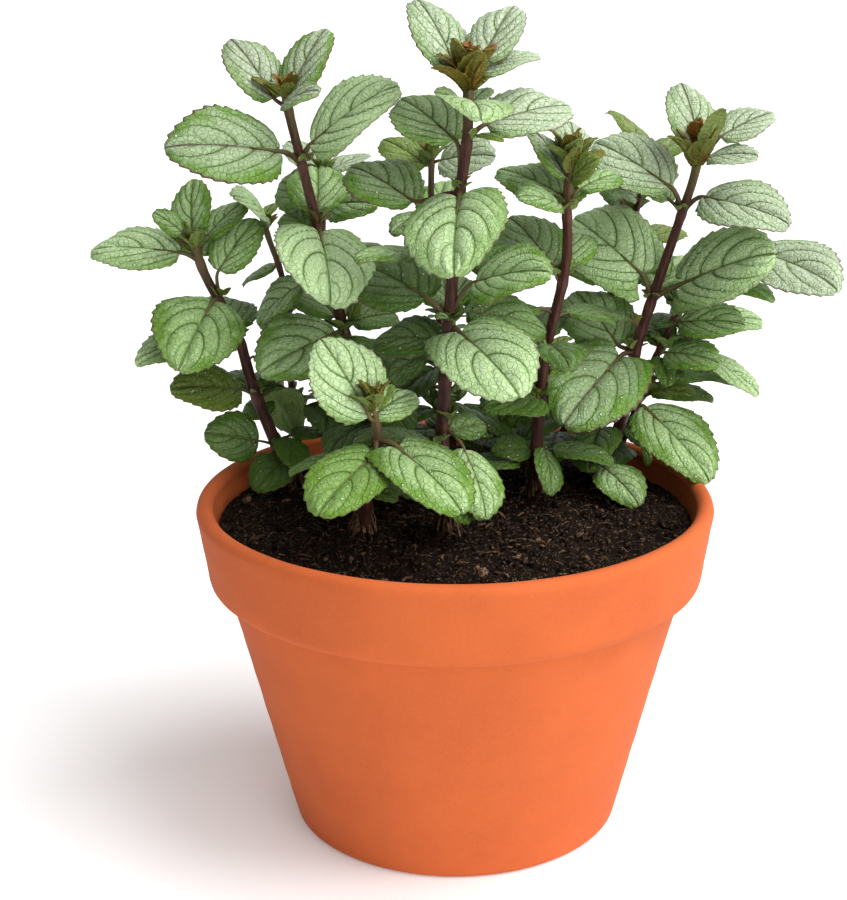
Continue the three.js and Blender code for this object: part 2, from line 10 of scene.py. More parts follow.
import bpy
import numpy as np
from bpy.props import FloatProperty, FloatVectorProperty, IntProperty, PointerProperty
from mathutils import Euler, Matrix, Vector


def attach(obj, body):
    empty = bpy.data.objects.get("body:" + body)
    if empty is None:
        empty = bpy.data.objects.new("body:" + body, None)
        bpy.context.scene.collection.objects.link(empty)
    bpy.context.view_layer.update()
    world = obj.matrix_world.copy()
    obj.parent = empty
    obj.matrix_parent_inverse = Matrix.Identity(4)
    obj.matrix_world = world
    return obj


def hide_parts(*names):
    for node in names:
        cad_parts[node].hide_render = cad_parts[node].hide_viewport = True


bl_info = {
    "name": "Potted Mint",
    "version": (1, 0, 0),
    "blender": (4, 5, 0),
    "location": "View3D > Sidebar > Mint",
    "description": "Builds a mint plant in a clay pot, its soil, leaves and stems",
    "category": "Add Mesh",
}

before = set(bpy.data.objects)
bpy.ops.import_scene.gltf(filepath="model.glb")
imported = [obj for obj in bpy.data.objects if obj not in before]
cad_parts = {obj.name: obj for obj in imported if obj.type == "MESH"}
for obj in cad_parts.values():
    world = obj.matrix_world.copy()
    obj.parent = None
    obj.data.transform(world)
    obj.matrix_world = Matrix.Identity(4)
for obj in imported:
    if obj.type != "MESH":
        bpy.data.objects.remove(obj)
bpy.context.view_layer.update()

MM = 0.001

# Pot, as its solid: heights and outer radii.
POT_HEIGHT = 106
LIP_RADIUS = 80
LIP_WALL = 5.3
COLLAR_BOTTOM = 79
COLLAR_RADIUS = 77
COLLAR_ROUND = 5
BODY_TOP_RADIUS = 70.8
BASE_RADIUS = 51.5
BASE_ROUND = 2.5
FLOOR = 7
WALL = 5.5
HOLE_RADIUS = 8
INNER_AT_COLLAR = LIP_RADIUS - LIP_WALL - 2.2
INSIDE = [
    (BASE_RADIUS - WALL - 3, FLOOR),
    (BASE_RADIUS - WALL + 1, FLOOR + 4),
    (BODY_TOP_RADIUS - WALL, COLLAR_BOTTOM - 2),
    (INNER_AT_COLLAR, COLLAR_BOTTOM + 11),
]

# Soil
SOIL_TOP = 98
SOIL_CROWN = 1.2
SOIL_GAP = 0.35
HEAP = 2
HEAP_REACH = 7
CRUMB_REACH = 71.5
FIBRE_REACH = 69

# Steps round the soil and the pot.
SOIL_SIDES = 300
POT_SIDES = 220

# The main clods of the soil, and hollows where the height is negative: x, y, reach and height.
CLODS = [
    (-27, -27, 9, 1.6), (-3, -25, 8, 1.4), (-9, -48, 12, 2.2), (-46, -26, 13, 2), (26, -36, 11, 2),
    (36, -10, 12, 1.8), (56, 6, 10, 1.8), (-8, 28, 12, 1.8), (24, 34, 10, 1.4), (-40, 6, 10, 1.6),
    (12, -8, 9, -2), (10, -30, 9, -1.8), (-38, -8, 8, -1.6), (-20, -52, 9, -1.4), (44, -34, 10, -1.6),
]

# Stems and leaves
ROOTED_TO = 84
CLEAR_OF_SOIL = 101
TOP_INSET = 1.5
FOLD = 10
DROOP = 22

# Blades longer than LARGE_LEAF have the most columns and veins, and those up to TINY_LEAF have no teeth. A
# tooth has its crest at a share of its length, and the width of a vein is a share of the way to the next.
LARGE_LEAF = 16
TINY_LEAF = 6
TOOTH_CREST = 0.74
VEIN_WIDTH = 0.075

# A blade's flat map holds this many side veins one way and this width the other.
MAP_VEINS = 8
MAP_WIDTH = 80

# A side shoot stands by each leaf longer than SHOOT_LEAF whose stalk is well below the tip. The shoots are
# larger low in the plant, and only those over LONG_SHOOT have a stalk and a second pair of leaves.
SHOOT_LEAF = 17
SHOOT_BELOW_TIP = 12
SHOOT_HEIGHTS = [112, 165, 205]
SHOOT_SIZES = [11, 10, 6]
LONG_SHOOT = 6

# Each stem: its width at the foot and at the tip, its route, how many woody scraps lean against its foot, how
# large its side shoots are beside SHOOT_SIZES, and the bunch of young leaves at its tip, with its size, its
# pairs and the letters of the outer and the inner leaves. Then come its leaves: the height on the stem, the
# stalk's length, bearing and rise, the blade's bearing, rise, roll, length and width, and the letter of its
# look. The rows under "inner" are small leaves inside the crown, which the solids don't have.
STEMS = {
    "stem_left": {
        "width": (3.6, 2.4),
        "route": [(-52, 25, 97), (-58, 26, 118), (-63, 27, 128), (-69, 28, 154), (-75, 29, 161),
                  (-82, 30, 179)],
        "scraps": 16,
        "shoots": 0.4,
        "tip": (8.5, 5, "y", "y"),
        "leaves": [
            (178, 5, 255, 80, 90, 58, -24, 19, 14, "a"),
            (178, 7, 210, 55, 218, 38, -64, 12, 8, "a"),
            (173, 7, 180, 28, 170, 1, -26, 30, 22, "p"),
            (173, 5, 116, 50, 136, 28, 4, 12.6, 9.1, "o"),
            (173, 9, 60, 60, 36, 33, 8, 18, 14, "a"),
            (161, 10, 325, 80, 44, 42, 20, 22, 16, "a"),
            (161, 3, 255, 5, 256, -22, -16, 34, 29, "a"),
            (147, 7, 200, 20, 204, -6, -12, 29, 22, "p"),
            (129, 6, 190, 35, 210, 10, -40, 24, 19, "b"),
            (129, 6, 38, 15, 52, -53, -40, 20, 16, "d"),
            (113, 7, 200, 25, 196, 14, -60, 18, 17, "d"),
            (113, 11, 129, 65, 126, 6, -32, 13.6, 10.4, "d"),
            (113, 5, 320, 50, 292, -26, -12, 15, 12, "d"),
            (108, 3, 294, 45, 240, -18, -32, 18, 14, "d"),
            (172, 5, 100, 35, 100, 24, 0, 18, 14, "a"),
            (147, 8, 110, 35, 110, 10, 0, 26, 20, "d"),
            (129, 7, 95, 35, 95, -8, 0, 24, 18, "d"),
            (113, 6, 25, 35, 25, -6, 0, 20, 15, "d"),
        ],
        "inner": [
            (140, 4, 50, 30, 30, -42, 0, 14, 11, "d"),
        ],
    },
    "stem_left_tall": {
        "width": (3.6, 2.4),
        "route": [(-21, 19, 97), (-31, 19, 139), (-51, 20, 227)],
        "scraps": 18,
        "shoots": 0.7,
        "tip": (8, 5, "o", "r"),
        "leaves": [
            (225, 3, 166, 40, 172, 34, -8, 9.6, 6.4, "o"),
            (225, 4, 0, 85, 310, 42, -8, 7, 4, "o"),
            (222, 6, 155, 35, 140, 44, -16, 25, 18, "v"),
            (222, 5, 52, 75, 42, 53, 8, 24, 17, "v"),
            (222, 4, 250, 35, 322, 22, 32, 15, 12, "v"),
            (205, 9, 210, 35, 208, 8, -44, 37, 29, "m"),
            (205, 8, 330, 64, 338, 35, 44, 34, 27, "t"),
            (186, 3, 285, -15, 278, -22, -12, 36, 32, "P"),
            (186, 5, 130, -10, 124, 10, -24, 15, 12, "d"),
            (163, 12, 175, 25, 158, -40, -40, 22, 17, "g"),
            (152, 4, 225, 20, 226, -10, -36, 32, 27, "g"),
            (152, 2, 290, -5, 294, -22, -8, 26, 21, "d"),
            (152, 5, 55, 40, 36, 0, 20, 18, 14, "d"),
            (152, 4, 0, 60, 342, 72, 60, 10, 6, "y"),
            (186, 8, 92, 35, 92, 24, 0, 26, 20, "a"),
            (152, 8, 118, 35, 118, 10, 0, 26, 20, "a"),
            (139, 7, 70, 35, 70, 0, 0, 24, 18, "d"),
            (128, 7, 300, 35, 300, -8, 0, 23, 17, "d"),
            (120, 6, 240, 35, 240, -8, 0, 20, 15, "d"),
            (111, 6, 330, 35, 330, -4, -20, 21, 16, "d"),
        ],
        "inner": [
            (176, 6, 60, 25, 48, -8, 0, 21, 16, "d"),
            (146, 5, 330, 20, 320, -20, 0, 17, 13, "d"),
            (107, 5, 290, 20, 300, -6, 0, 20, 16, "d"),
        ],
    },
    "stem_centre_tall": {
        "width": (3.8, 2.6),
        "route": [(-2, -20, 97), (-4, -18, 116), (-4, -17, 133), (1, -11, 201), (4, -10, 216), (4, -8, 233)],
        "scraps": 46,
        "shoots": 0.7,
        "tip": (14.5, 6, "o", "r"),
        "leaves": [
            (232, 4, 235, 70, 242, 62, -16, 14, 8, "o"),
            (232, 4, 60, 70, 76, 52, -40, 16, 9, "r"),
            (232, 4, 265, 60, 322, 50, -4, 13, 8, "r"),
            (229, 8, 145, 65, 126, 45, 0, 29, 20, "w"),
            (229, 12, 0, 70, 56, 39, 4, 23, 17, "w"),
            (229, 8, 35, 65, 32, 12, 8, 22, 16, "w"),
            (229, 3, 197, -5, 216, 21, -52, 9, 6, "p"),
            (229, 4, 75, -30, 56, 21, 4, 11, 8, "p"),
            (216, 8, 20, 45, 26, 8, 24, 29, 23, "w"),
            (226, 4, 290, 40, 275, -2, -6, 22, 22, "p"),
            (216, 4, 0, 45, 324, -5, 8, 9, 6, "y"),
            (202, 16, 110, 75, 130, 21, -20, 27, 22, "p"),
            (202, 4, 270, -5, 266, -22, 10, 37, 30, "P"),
            (202, 14, 170, -10, 136, 16, -20, 28, 22, "m"),
            (179, 7, 40, 20, 18, -8, 24, 25, 19, "d"),
            (163, 11, 165, 50, 132, 10, -28, 32, 27, "d"),
            (163, 16, 345, 60, 318, 16, 40, 28, 23, "g"),
            (163, 5, 310, -10, 300, -18, 16, 34, 29, "P"),
            (163, 8, 45, 25, 14, -16, 28, 27, 21, "d"),
            (147, 12, 115, 75, 154, -6, -28, 23, 19, "d"),
            (147, 10, 160, 50, 146, -36, -52, 17, 14, "d"),
            (133, 3, 340, -15, 38, -4, 40, 14, 10, "d"),
            (133, 10, 330, -40, 290, -40, -24, 24, 19, "a"),
            (179, 8, 205, 35, 205, 8, 0, 25, 19, "a"),
            (163, 8, 93, 35, 93, 10, 0, 25, 19, "a"),
            (148, 7, 30, 35, 30, -7, 0, 24, 18, "d"),
            (126, 7, 204, 35, 204, 8, 0, 23, 17, "d"),
            (115, 5, 290, 20, 285, -20, -20, 18, 15, "d"),
        ],
    },
    "stem_centre_right": {
        "width": (3.6, 2.4),
        "route": [(25, 14, 97), (26, 13, 116), (28, 12, 147), (35, 11, 176), (34, 10, 200), (36, 10, 208)],
        "scraps": 20,
        "shoots": 0.8,
        "tip": (11.5, 5, "y", "o"),
        "leaves": [
            (208, 2, 235, -45, 276, 56, 40, 10, 6, "o"),
            (200, 3, 260, 70, 128, 40, 8, 20, 14, "v"),
            (200, 11, 60, 65, 92, 34, 20, 14, 13, "w"),
            (200, 3, 330, 55, 312, 36, 60, 13, 10, "y"),
            (200, 7, 32, 50, 36, 25, 4, 11, 7, "o"),
            (191, 9, 0, 65, 42, 8, 12, 18, 14, "a"),
            (191, 7, 135, 65, 144, 14, -24, 24, 18, "g"),
            (191, 6, 226, 45, 224, 16, -32, 18, 14, "g"),
            (170, 7, 165, 55, 122, 26, -8, 26, 21, "M"),
            (132, 2, 265, 35, 224, 6, -24, 25, 19, "d"),
            (116, 2, 179, 0, 196, 4, -32, 13, 12, "d"),
            (116, 3, 325, 5, 276, -38, -40, 17, 13, "d"),
            (191, 6, 88, 35, 88, 24, 0, 20, 15, "a"),
            (170, 7, 80, 35, 80, 16, 0, 24, 18, "a"),
            (147, 8, 95, 35, 95, 8, 0, 25, 19, "d"),
            (147, 8, 280, 35, 280, 2, 0, 25, 19, "d"),
            (109, 5, 130, 40, 130, 4, 0, 19, 14, "d"),
        ],
        "inner": [
            (160, 6, 200, 20, 195, -8, 0, 22, 17, "d"),
            (158, 5, 20, 20, 15, -14, 0, 17, 13, "d"),
            (110, 6, 190, 25, 195, -4, 0, 22, 17, "d"),
            (113, 6, 5, 25, 355, -8, 0, 20, 16, "d"),
            (152, 6, 215, 20, 215, -4, 0, 24, 19, "d"),
        ],
    },
    "stem_right": {
        "width": (3.6, 2.4),
        "route": [(44, 37, 97), (52, 35, 110), (56, 34, 121), (58, 32, 142), (76, 24, 205)],
        "scraps": 20,
        "shoots": 0.45,
        "tip": (16, 6, "o", "r"),
        "leaves": [
            (204, 5, 270, 80, 106, 51, 8, 25, 18, "w"),
            (204, 11, 2, 54, 14, 22, 28, 19, 14, "w"),
            (204, 4, 340, 40, 324, 9, 20, 17, 12, "w"),
            (204, 6, 305, 65, 300, 62, 4, 16, 9, "y"),
            (204, 5, 50, 75, 80, 48, -56, 14, 8, "r"),
            (188, 10, 190, 65, 146, 24, -28, 30, 23, "s"),
            (188, 9, 345, 40, 322, -8, 24, 30, 25, "w"),
            (159, 10, 165, 70, 134, 26, -36, 33, 28, "T"),
            (159, 12, 340, 35, 324, 25, 48, 34, 28, "P"),
            (142, 6, 220, 0, 234, -22, -24, 36, 30, "M"),
            (142, 6, 150, 20, 122, 29, -24, 28, 24, "g"),
            (121, 8, 325, 25, 310, -30, 8, 34, 27, "a"),
            (121, 10, 200, -25, 256, -18, 16, 22, 19, "d"),
            (108, 20, 262, 2, 300, -19, 10, 20, 16, "g"),
            (188, 7, 130, 35, 130, 22, 0, 24, 18, "a"),
            (158, 8, 60, 35, 60, 12, 0, 27, 21, "a"),
            (150, 7, 195, 35, 195, 11, 0, 22, 17, "d"),
            (141, 7, 80, 35, 80, 0, 0, 24, 18, "d"),
            (119, 6, 95, 35, 95, -8, 0, 21, 16, "d"),
        ],
        "inner": [
            (149, 5, 40, 25, 40, -4, 0, 19, 15, "d"),
            (134, 5, 35, 20, 32, -5, 0, 17, 13, "d"),
        ],
    },
    "stem_right_thin": {
        "width": (2.2, 1.6),
        "route": [(50, 44, 97), (57, 42, 110), (65, 36, 139), (71, 34, 152), (73, 32, 161), (80, 31, 169),
                  (93, 30, 175)],
        "scraps": 12,
        "shoots": 1,
        "tip": (6, 4, "y", "y"),
        "leaves": [
            (174, 6, 350, 20, 306, -8, 20, 35, 26, "w"),
            (152, 2, 330, -5, 330, 6, 28, 22, 17, "a"),
            (152, 6, 20, -12, 4, 2, 16, 24, 17, "p"),
            (152, 15, 5, -52, 328, -24, 0, 23, 16, "p"),
            (140, 4, 345, 20, 318, 1, 28, 20, 16, "a"),
            (140, 2, 305, -5, 280, -34, -24, 12, 9, "d"),
            (124, 6, 8, 40, 332, -2, 20, 16, 12, "y"),
            (110, 6, 350, 5, 278, -39, -44, 11, 6, "y"),
            (110, 6, 251, 65, 314, -32, -4, 10, 8, "d"),
            (163, 7, 330, 35, 330, -8, 0, 24, 18, "a"),
            (139, 7, 60, 35, 60, -7, 0, 24, 18, "d"),
            (123, 6, 350, 35, 350, 0, 0, 20, 15, "d"),
        ],
        "inner": [
            (130, 6, 5, 20, 352, 2, 0, 24, 15, "a"),
            (106, 5, 260, 25, 255, -4, 0, 20, 16, "d"),
        ],
    },
    "stem_back_centre": {
        "width": (2.4, 1.7),
        "route": [(2, 40, 97), (-2, 41, 117), (-7, 46, 196), (-6, 46, 204)],
        "scraps": 12,
        "shoots": 1,
        "tip": (7, 4, "y", "o"),
        "leaves": [
            (201, 2, 180, -15, 140, 20, -16, 20, 15, "y"),
            (201, 3, 0, 20, 328, 10, 44, 20, 17, "w"),
            (180, 7, 195, 50, 228, -18, -12, 14, 10, "g"),
            (179, 7, 80, 35, 80, 24, 0, 22, 17, "a"),
            (156, 8, 120, 35, 120, 12, 0, 25, 19, "a"),
            (142, 8, 255, 35, 255, 4, 0, 25, 19, "d"),
            (130, 8, 70, 35, 70, 0, 0, 25, 19, "d"),
            (121, 7, 320, 20, 315, -14, -10, 25, 20, "d"),
            (118, 7, 220, 35, 220, -6, 0, 22, 17, "d"),
            (109, 6, 20, 40, 20, 0, 0, 20, 15, "d"),
            (110, 6, 200, 40, 200, 2, 0, 20, 15, "d"),
        ],
        "inner": [
            (134, 5, 235, 20, 225, -22, 0, 24, 19, "d"),
            (109, 6, 340, 25, 335, -6, 0, 24, 19, "d"),
            (106, 6, 225, 25, 240, -4, 0, 22, 18, "d"),
            (127, 6, 200, 20, 190, -16, 0, 26, 20, "d"),
            (118, 6, 300, 25, 300, -2, 0, 22, 18, "d"),
        ],
    },
    "stem_back_left": {
        "width": (2.4, 1.7),
        "route": [(-32, 44, 97), (-39, 46, 123), (-42, 49, 183), (-41, 50, 198)],
        "scraps": 12,
        "shoots": 1,
        "tip": (7, 4, "y", "y"),
        "leaves": [
            (195, 4, 110, 55, 140, 29, -12, 17, 14, "w"),
            (195, 4, 19, 50, 28, 18, 8, 15, 13, "w"),
            (189, 2, 180, 25, 134, 10, -56, 19, 18, "g"),
            (189, 3, 320, -25, 322, 8, 44, 20, 16, "g"),
            (182, 5, 80, 35, 80, 24, 0, 18, 14, "a"),
            (155, 7, 95, 35, 95, 12, 0, 24, 18, "a"),
            (128, 8, 120, 35, 120, 0, 0, 25, 19, "d"),
            (120, 7, 265, 35, 265, -6, 0, 23, 17, "d"),
        ],
        "inner": [
            (107, 6, 300, 25, 290, -4, 0, 22, 17, "d"),
            (134, 6, 320, 20, 315, -10, 0, 26, 20, "d"),
        ],
    },
    "stem_far_left": {
        "width": (2.2, 1.6),
        "route": [(-50, 42, 97), (-53, 43, 131), (-54, 44, 165), (-61, 45, 182)],
        "scraps": 8,
        "shoots": 0.5,
        "tip": (6, 4, "y", "o"),
        "leaves": [
            (179, 6, 266, 80, 238, 32, -44, 18, 16, "p"),
            (179, 6, 194, 90, 70, 16, -8, 9, 5, "y"),
            (169, 3, 130, -25, 152, -28, -24, 15, 9, "g"),
            (150, 7, 76, 35, 76, 10, 0, 24, 18, "d"),
            (124, 7, 150, 35, 150, -11, 0, 24, 18, "d"),
            (122, 7, 332, 35, 332, 5, 0, 20, 15, "d"),
        ],
    },
    "stem_back_right": {
        "width": (2.4, 1.7),
        "route": [(30, 48, 97), (46, 50, 128), (64, 54, 200)],
        "scraps": 10,
        "shoots": 1,
        "tip": (9, 5, "y", "o"),
        "leaves": [
            (199, 5, 180, 85, 130, 34, 16, 21, 14, "y"),
            (199, 3, 35, 60, 38, 15, 4, 17, 14, "y"),
            (188, 3, 235, 10, 218, 28, -44, 12, 8, "w"),
            (188, 2, 300, 50, 316, 30, 40, 12, 8, "p"),
            (183, 9, 0, -70, 28, 4, 12, 17, 14, "y"),
            (181, 5, 110, 35, 110, 26, 0, 18, 14, "a"),
            (156, 7, 50, 35, 50, 14, 0, 24, 18, "a"),
            (156, 7, 142, 35, 142, 19, 0, 24, 18, "a"),
            (130, 7, 90, 35, 90, 0, 0, 24, 18, "d"),
            (128, 7, 235, 20, 215, -14, -16, 34, 26, "d"),
        ],
        "inner": [
            (109, 6, 250, 25, 262, -6, 0, 22, 18, "d"),
            (107, 6, 325, 25, 322, -4, 0, 22, 18, "d"),
            (116, 6, 230, 25, 235, -4, 0, 24, 19, "d"),
        ],
    },
    "stem_front": {
        "width": (3.0, 2.0),
        "route": [(-28, -22, 97), (-27, -26, 110), (-25, -30, 124), (-21, -33, 133), (-25, -36, 145)],
        "scraps": 64,
        "shoots": 0.4,
        "tip": (9, 5, "y", "o"),
        "leaves": [
            (144, 1, 180, 25, 256, 62, -40, 12, 8, "o"),
            (144, 1, 75, 5, 72, 32, -28, 9, 5, "y"),
            (139, 4, 220, 45, 154, 55, -40, 27, 23, "p"),
            (139, 3, 145, 55, 44, 12, 20, 18, 15, "p"),
            (134, 6, 240, -35, 238, -16, -12, 30, 24, "K"),
            (134, 6, 315, -10, 308, -20, 8, 32, 25, "A"),
            (113, 5, 300, 65, 328, -10, 20, 10, 7, "d"),
            (124, 6, 190, 35, 190, -6, 0, 20, 15, "d"),
            (124, 5, 350, 35, 350, -6, 0, 18, 14, "d"),
        ],
    },
}

# What a leaf's letter says of its colour: paleness, which is partly the blade's own silvery tone and partly
# painted sheen; darkness, which is painted shade, deepest on the leaves low and inside the crown; olive to
# rust; violet of the veins. A capital letter also gives the leaf a heart-shaped base.
LOOKS = {
    "a": (0.60, 0.22, 0.0, 0.25),
    "k": (0.26, 0.12, 0.05, 0.30),
    "p": (0.90, 0.05, 0.0, 0.30),
    "s": (1.35, 0.0, 0.0, 0.55),
    "t": (1.2, 0.0, 0.0, 0.30),
    "w": (1.0, 0.0, 0.0, 0.60),
    "v": (0.75, 0.15, 0.05, 0.80),
    "m": (0.40, 0.36, 0.0, 0.95),
    "g": (0.60, 0.40, 0.0, 0.35),
    "b": (0.15, 0.55, 0.30, 0.60),
    "d": (0.12, 0.75, 0.0, 0.40),
    "y": (0.35, 0.10, 0.30, 0.05),
    "o": (0.05, 0.40, 0.60, 0.40),
    "r": (0.0, 0.25, 0.88, 0.40),
}

# Columns of a blade from its midrib to its margin, for large, middling and tiny leaves.
COLUMNS = {
    "large": np.array([0, 0.04, 0.1, 0.18, 0.27, 0.37, 0.47, 0.57, 0.67, 0.76, 0.85, 0.92, 0.97, 1]),
    "middling": np.array([0, 0.10, 0.27, 0.46, 0.66, 0.84, 0.94, 1]),
    "tiny": np.array([0, 0.4, 0.8, 1]),
}


def vector(bearing, rise):
    """Unit vector(s): (cos r cos b, cos r sin b, sin r)."""
    b, r = np.radians(bearing), np.radians(rise)
    return np.stack([np.cos(r) * np.cos(b), np.cos(r) * np.sin(b), np.sin(r) + 0 * b], axis=-1)


def unit(v):
    """The vector(s) v, each divided by its own length."""
    return v / np.linalg.norm(v, axis=-1, keepdims=True)


def full_turn(count):
    """Angles of one full turn in even steps."""
    return 2 * np.pi * np.arange(count) / count


def leaf_frame(bearing, rise, roll):
    """A blade's chord, its left side and its upper face: the level side, turned by the roll about the chord,
    and what stands square on both."""
    chord = vector(bearing, rise)
    level = vector(bearing + 90, 0)
    up = np.cross(chord, level)
    turn = math.radians(roll)
    side = level * math.cos(turn) + up * math.sin(turn)
    face = up * math.cos(turn) - level * math.sin(turn)
    return chord, side, face


def half_width(share, width, blunt):
    """Half a blade's width: width/2 times sin(pi share^a)^b, with 0.88 and 0.5 for a blunt, rounded leaf and
    0.82 and 0.6 for a leaf that narrows to its tip."""
    s = np.clip(share, 0, 1)
    first, second = (0.88, 0.50) if blunt else (0.82, 0.60)
    return width / 2 * np.clip(np.sin(np.pi * s**first), 0, 1) ** second


def on_blade(base, axes, length, share, across, lift, fold=FOLD):
    """Points of a blade's middle surface and its normals. The midrib is an arc that bends down by DROOP from
    end to end, each half rises from it by the fold, and lift moves a point along the normal."""
    chord, side, face = axes
    bend = math.radians(DROOP)
    slope = bend / 2 - bend * share
    scale = length / (2 * math.sin(bend / 2))
    out = scale * (math.sin(bend / 2) - np.sin(slope))
    up = scale * (np.cos(slope) - math.cos(bend / 2))
    normal = face * np.cos(slope)[..., None] - chord * np.sin(slope)[..., None]
    rise = np.abs(across) * math.sin(math.radians(fold)) + lift
    level = across * math.cos(math.radians(fold))
    place = base + chord * out[..., None] + face * up[..., None] + side * level[..., None]
    return place + normal * rise[..., None], normal


def shell_faces(rings, around):
    """Quads between neighbouring rings and a fan to a pole at each end, all looking outwards."""
    here = np.arange(around)
    after = (here + 1) % around
    row = np.arange(rings - 1)[:, None] * around
    quads = np.stack([row + here, row + around + here, row + around + after, row + after], -1)
    start = np.full(around, rings * around)
    last = (rings - 1) * around
    fans = [np.stack([start, here, after], -1), np.stack([start + 1, last + after, last + here], -1)]
    return quads.reshape(-1, 4), np.concatenate(fans)


class Pile:
    """Closed shells gathered into one mesh, with the colours that its material reads at each point."""

    def __init__(self):
        self.places, self.quads, self.fans, self.maps, self.tones, self.spots = [], [], [], [], [], []
        self.count = 0

    def add(self, rings, start, end, tone=(0, 0, 0), spot=(0, 0, 0), flat=(0, 0)):
        """One shell: its rings, its two poles, and its tone, spot and flat map at each point of the rings."""
        count, around = rings.shape[:2]
        quads, fans = shell_faces(count, around)

        def spread(values, depth):
            grid = np.broadcast_to(np.asarray(values, float), (count, around, depth))
            poles = np.stack([grid[0].mean(0), grid[-1].mean(0)])
            return np.concatenate([grid.reshape(-1, depth), poles])

        self.places.append(np.concatenate([rings.reshape(-1, 3), [start, end]]))
        self.quads.append(quads + self.count)
        self.fans.append(fans + self.count)
        self.tones.append(spread(tone, 3))
        self.spots.append(spread(spot, 3))
        self.maps.append(spread(flat, 2))
        self.count += count * around + 2

    def shells(self, rings, starts, ends, tones, spots):
        """Many shells of one shape at once: rings (n, rings, around, 3) and one tone and spot for each."""
        many, count, around = rings.shape[:3]
        quads, fans = shell_faces(count, around)
        each = count * around + 2
        offset = self.count + np.arange(many)[:, None, None] * each
        places = np.concatenate([rings.reshape(many, -1, 3), starts[:, None], ends[:, None]], 1)
        self.places.append(places.reshape(-1, 3))
        self.quads.append((quads[None] + offset).reshape(-1, 4))
        self.fans.append((fans[None] + offset).reshape(-1, 3))
        self.tones.append(np.repeat(tones, each, 0))
        self.spots.append(np.repeat(spots, each, 0))
        self.maps.append(np.zeros((many * each, 2)))
        self.count += many * each

    def piece(self, name, material, slot, replaces=()):
        """The pile as an object that rides on the root body."""
        quads, fans = np.concatenate(self.quads), np.concatenate(self.fans)
        mesh = mesh_of(name, np.concatenate(self.places), quads, fans)
        corners = np.concatenate([quads.ravel(), fans.ravel()])
        flat = mesh.uv_layers.new(name="UVMap")
        flat.data.foreach_set("uv", np.concatenate(self.maps)[corners].astype(np.float32).ravel())
        for key, values in (("tone", self.tones), ("spot", self.spots)):
            colours = np.concatenate(values)
            colours = np.concatenate([colours, np.ones((len(colours), 1))], 1)
            layer = mesh.attributes.new(key, "FLOAT_COLOR", "POINT")
            layer.data.foreach_set("color", colours.astype(np.float32).ravel())
        return settled(name, mesh, material, replaces)


def mesh_of(name, places, quads, fans):
    """A smooth mesh from points in millimetres, quads and triangles."""
    mesh = bpy.data.meshes.new(name)
    corners = np.concatenate([quads.ravel(), fans.ravel()]).astype(np.int32)
    first_fan = 4 * len(quads)
    starts = np.concatenate([np.arange(len(quads)) * 4, first_fan + np.arange(len(fans)) * 3])
    mesh.vertices.add(len(places))
    mesh.vertices.foreach_set("co", (places * MM).astype(np.float32).ravel())
    mesh.loops.add(len(corners))
    mesh.loops.foreach_set("vertex_index", corners)
    mesh.polygons.add(len(starts))
    mesh.polygons.foreach_set("loop_start", starts.astype(np.int32))
    mesh.polygons.foreach_set("use_smooth", np.ones(len(starts), bool))
    mesh.update(calc_edges=True)
    mesh.validate()
    return mesh


def settled(name, mesh, material, replaces=()):
    """The mesh as a piece of the object, which stands for the named nodes of the solid model."""
    piece = bpy.data.objects.new(name, mesh)
    bpy.context.scene.collection.objects.link(piece)
    mesh.materials.append(material)
    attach(piece, "root")
    if replaces:
        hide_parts(*replaces)
    return piece


def tube(path, radius, side, sides, corners=0.0):
    """Rings round a path: radius (1 - corners cos 4a) at the angle a, which is square for corners over 0."""
    along = unit(np.gradient(path, axis=0))
    aside = unit(side - along * np.sum(side * along, -1, keepdims=True))
    across = np.cross(aside, along)
    angle = full_turn(sides)
    size = radius[:, None] * (1 - corners * np.cos(4 * angle))
    rings = path[:, None] + aside[:, None] * (size * np.cos(angle))[..., None]
    return rings + across[:, None] * (size * np.sin(angle))[..., None]


def hermite(start, end, leaving, arriving, steps):
    """A cubic from start to end that leaves and arrives along the given vectors."""
    t = np.linspace(0, 1, steps)[:, None]
    return (
        (2 * t**3 - 3 * t**2 + 1) * start
        + (t**3 - 2 * t**2 + t) * leaving
        + (3 * t**2 - 2 * t**3) * end
        + (t**3 - t**2) * arriving
    )


def smooth_route(route, heights):
    """A stem's middle at some heights: the straight runs of its solid, averaged over 18 mm of height."""
    route = np.array(route, float)
    near = np.asarray(heights, float)[:, None] + np.linspace(-9, 9, 13)
    flat = [np.interp(near, route[:, 2], route[:, i]).mean(1) for i in (0, 1)]
    return np.stack([*flat, heights], -1)


def straight_route(route, height):
    """A stem's point at a height, along the straight runs of its solid."""
    route = np.array(route, float)
    h = min(height, route[-1, 2] - TOP_INSET)
    return np.array([np.interp(h, route[:, 2], route[:, i]) for i in (0, 1)] + [max(h, route[0, 2])])


def ripple(points, seed, size, octaves=4):
    """Smooth noise in -1...1: sines of random direction and phase. Each octave has waves half as long and
    0.55 times as strong as the one before."""
    rng = np.random.default_rng(seed)
    total, weight = np.zeros(points.shape[:-1]), 0
    for octave in range(octaves):
        strength = 0.55**octave
        waves = unit(rng.normal(size=(6, 3))) * (2 * np.pi / size) * 2**octave
        phases = rng.uniform(0, 2 * np.pi, 6)
        total += strength * np.sin(points @ waves.T + phases).sum(-1) / 3
        weight += strength
    return np.clip(total / weight, -1, 1)


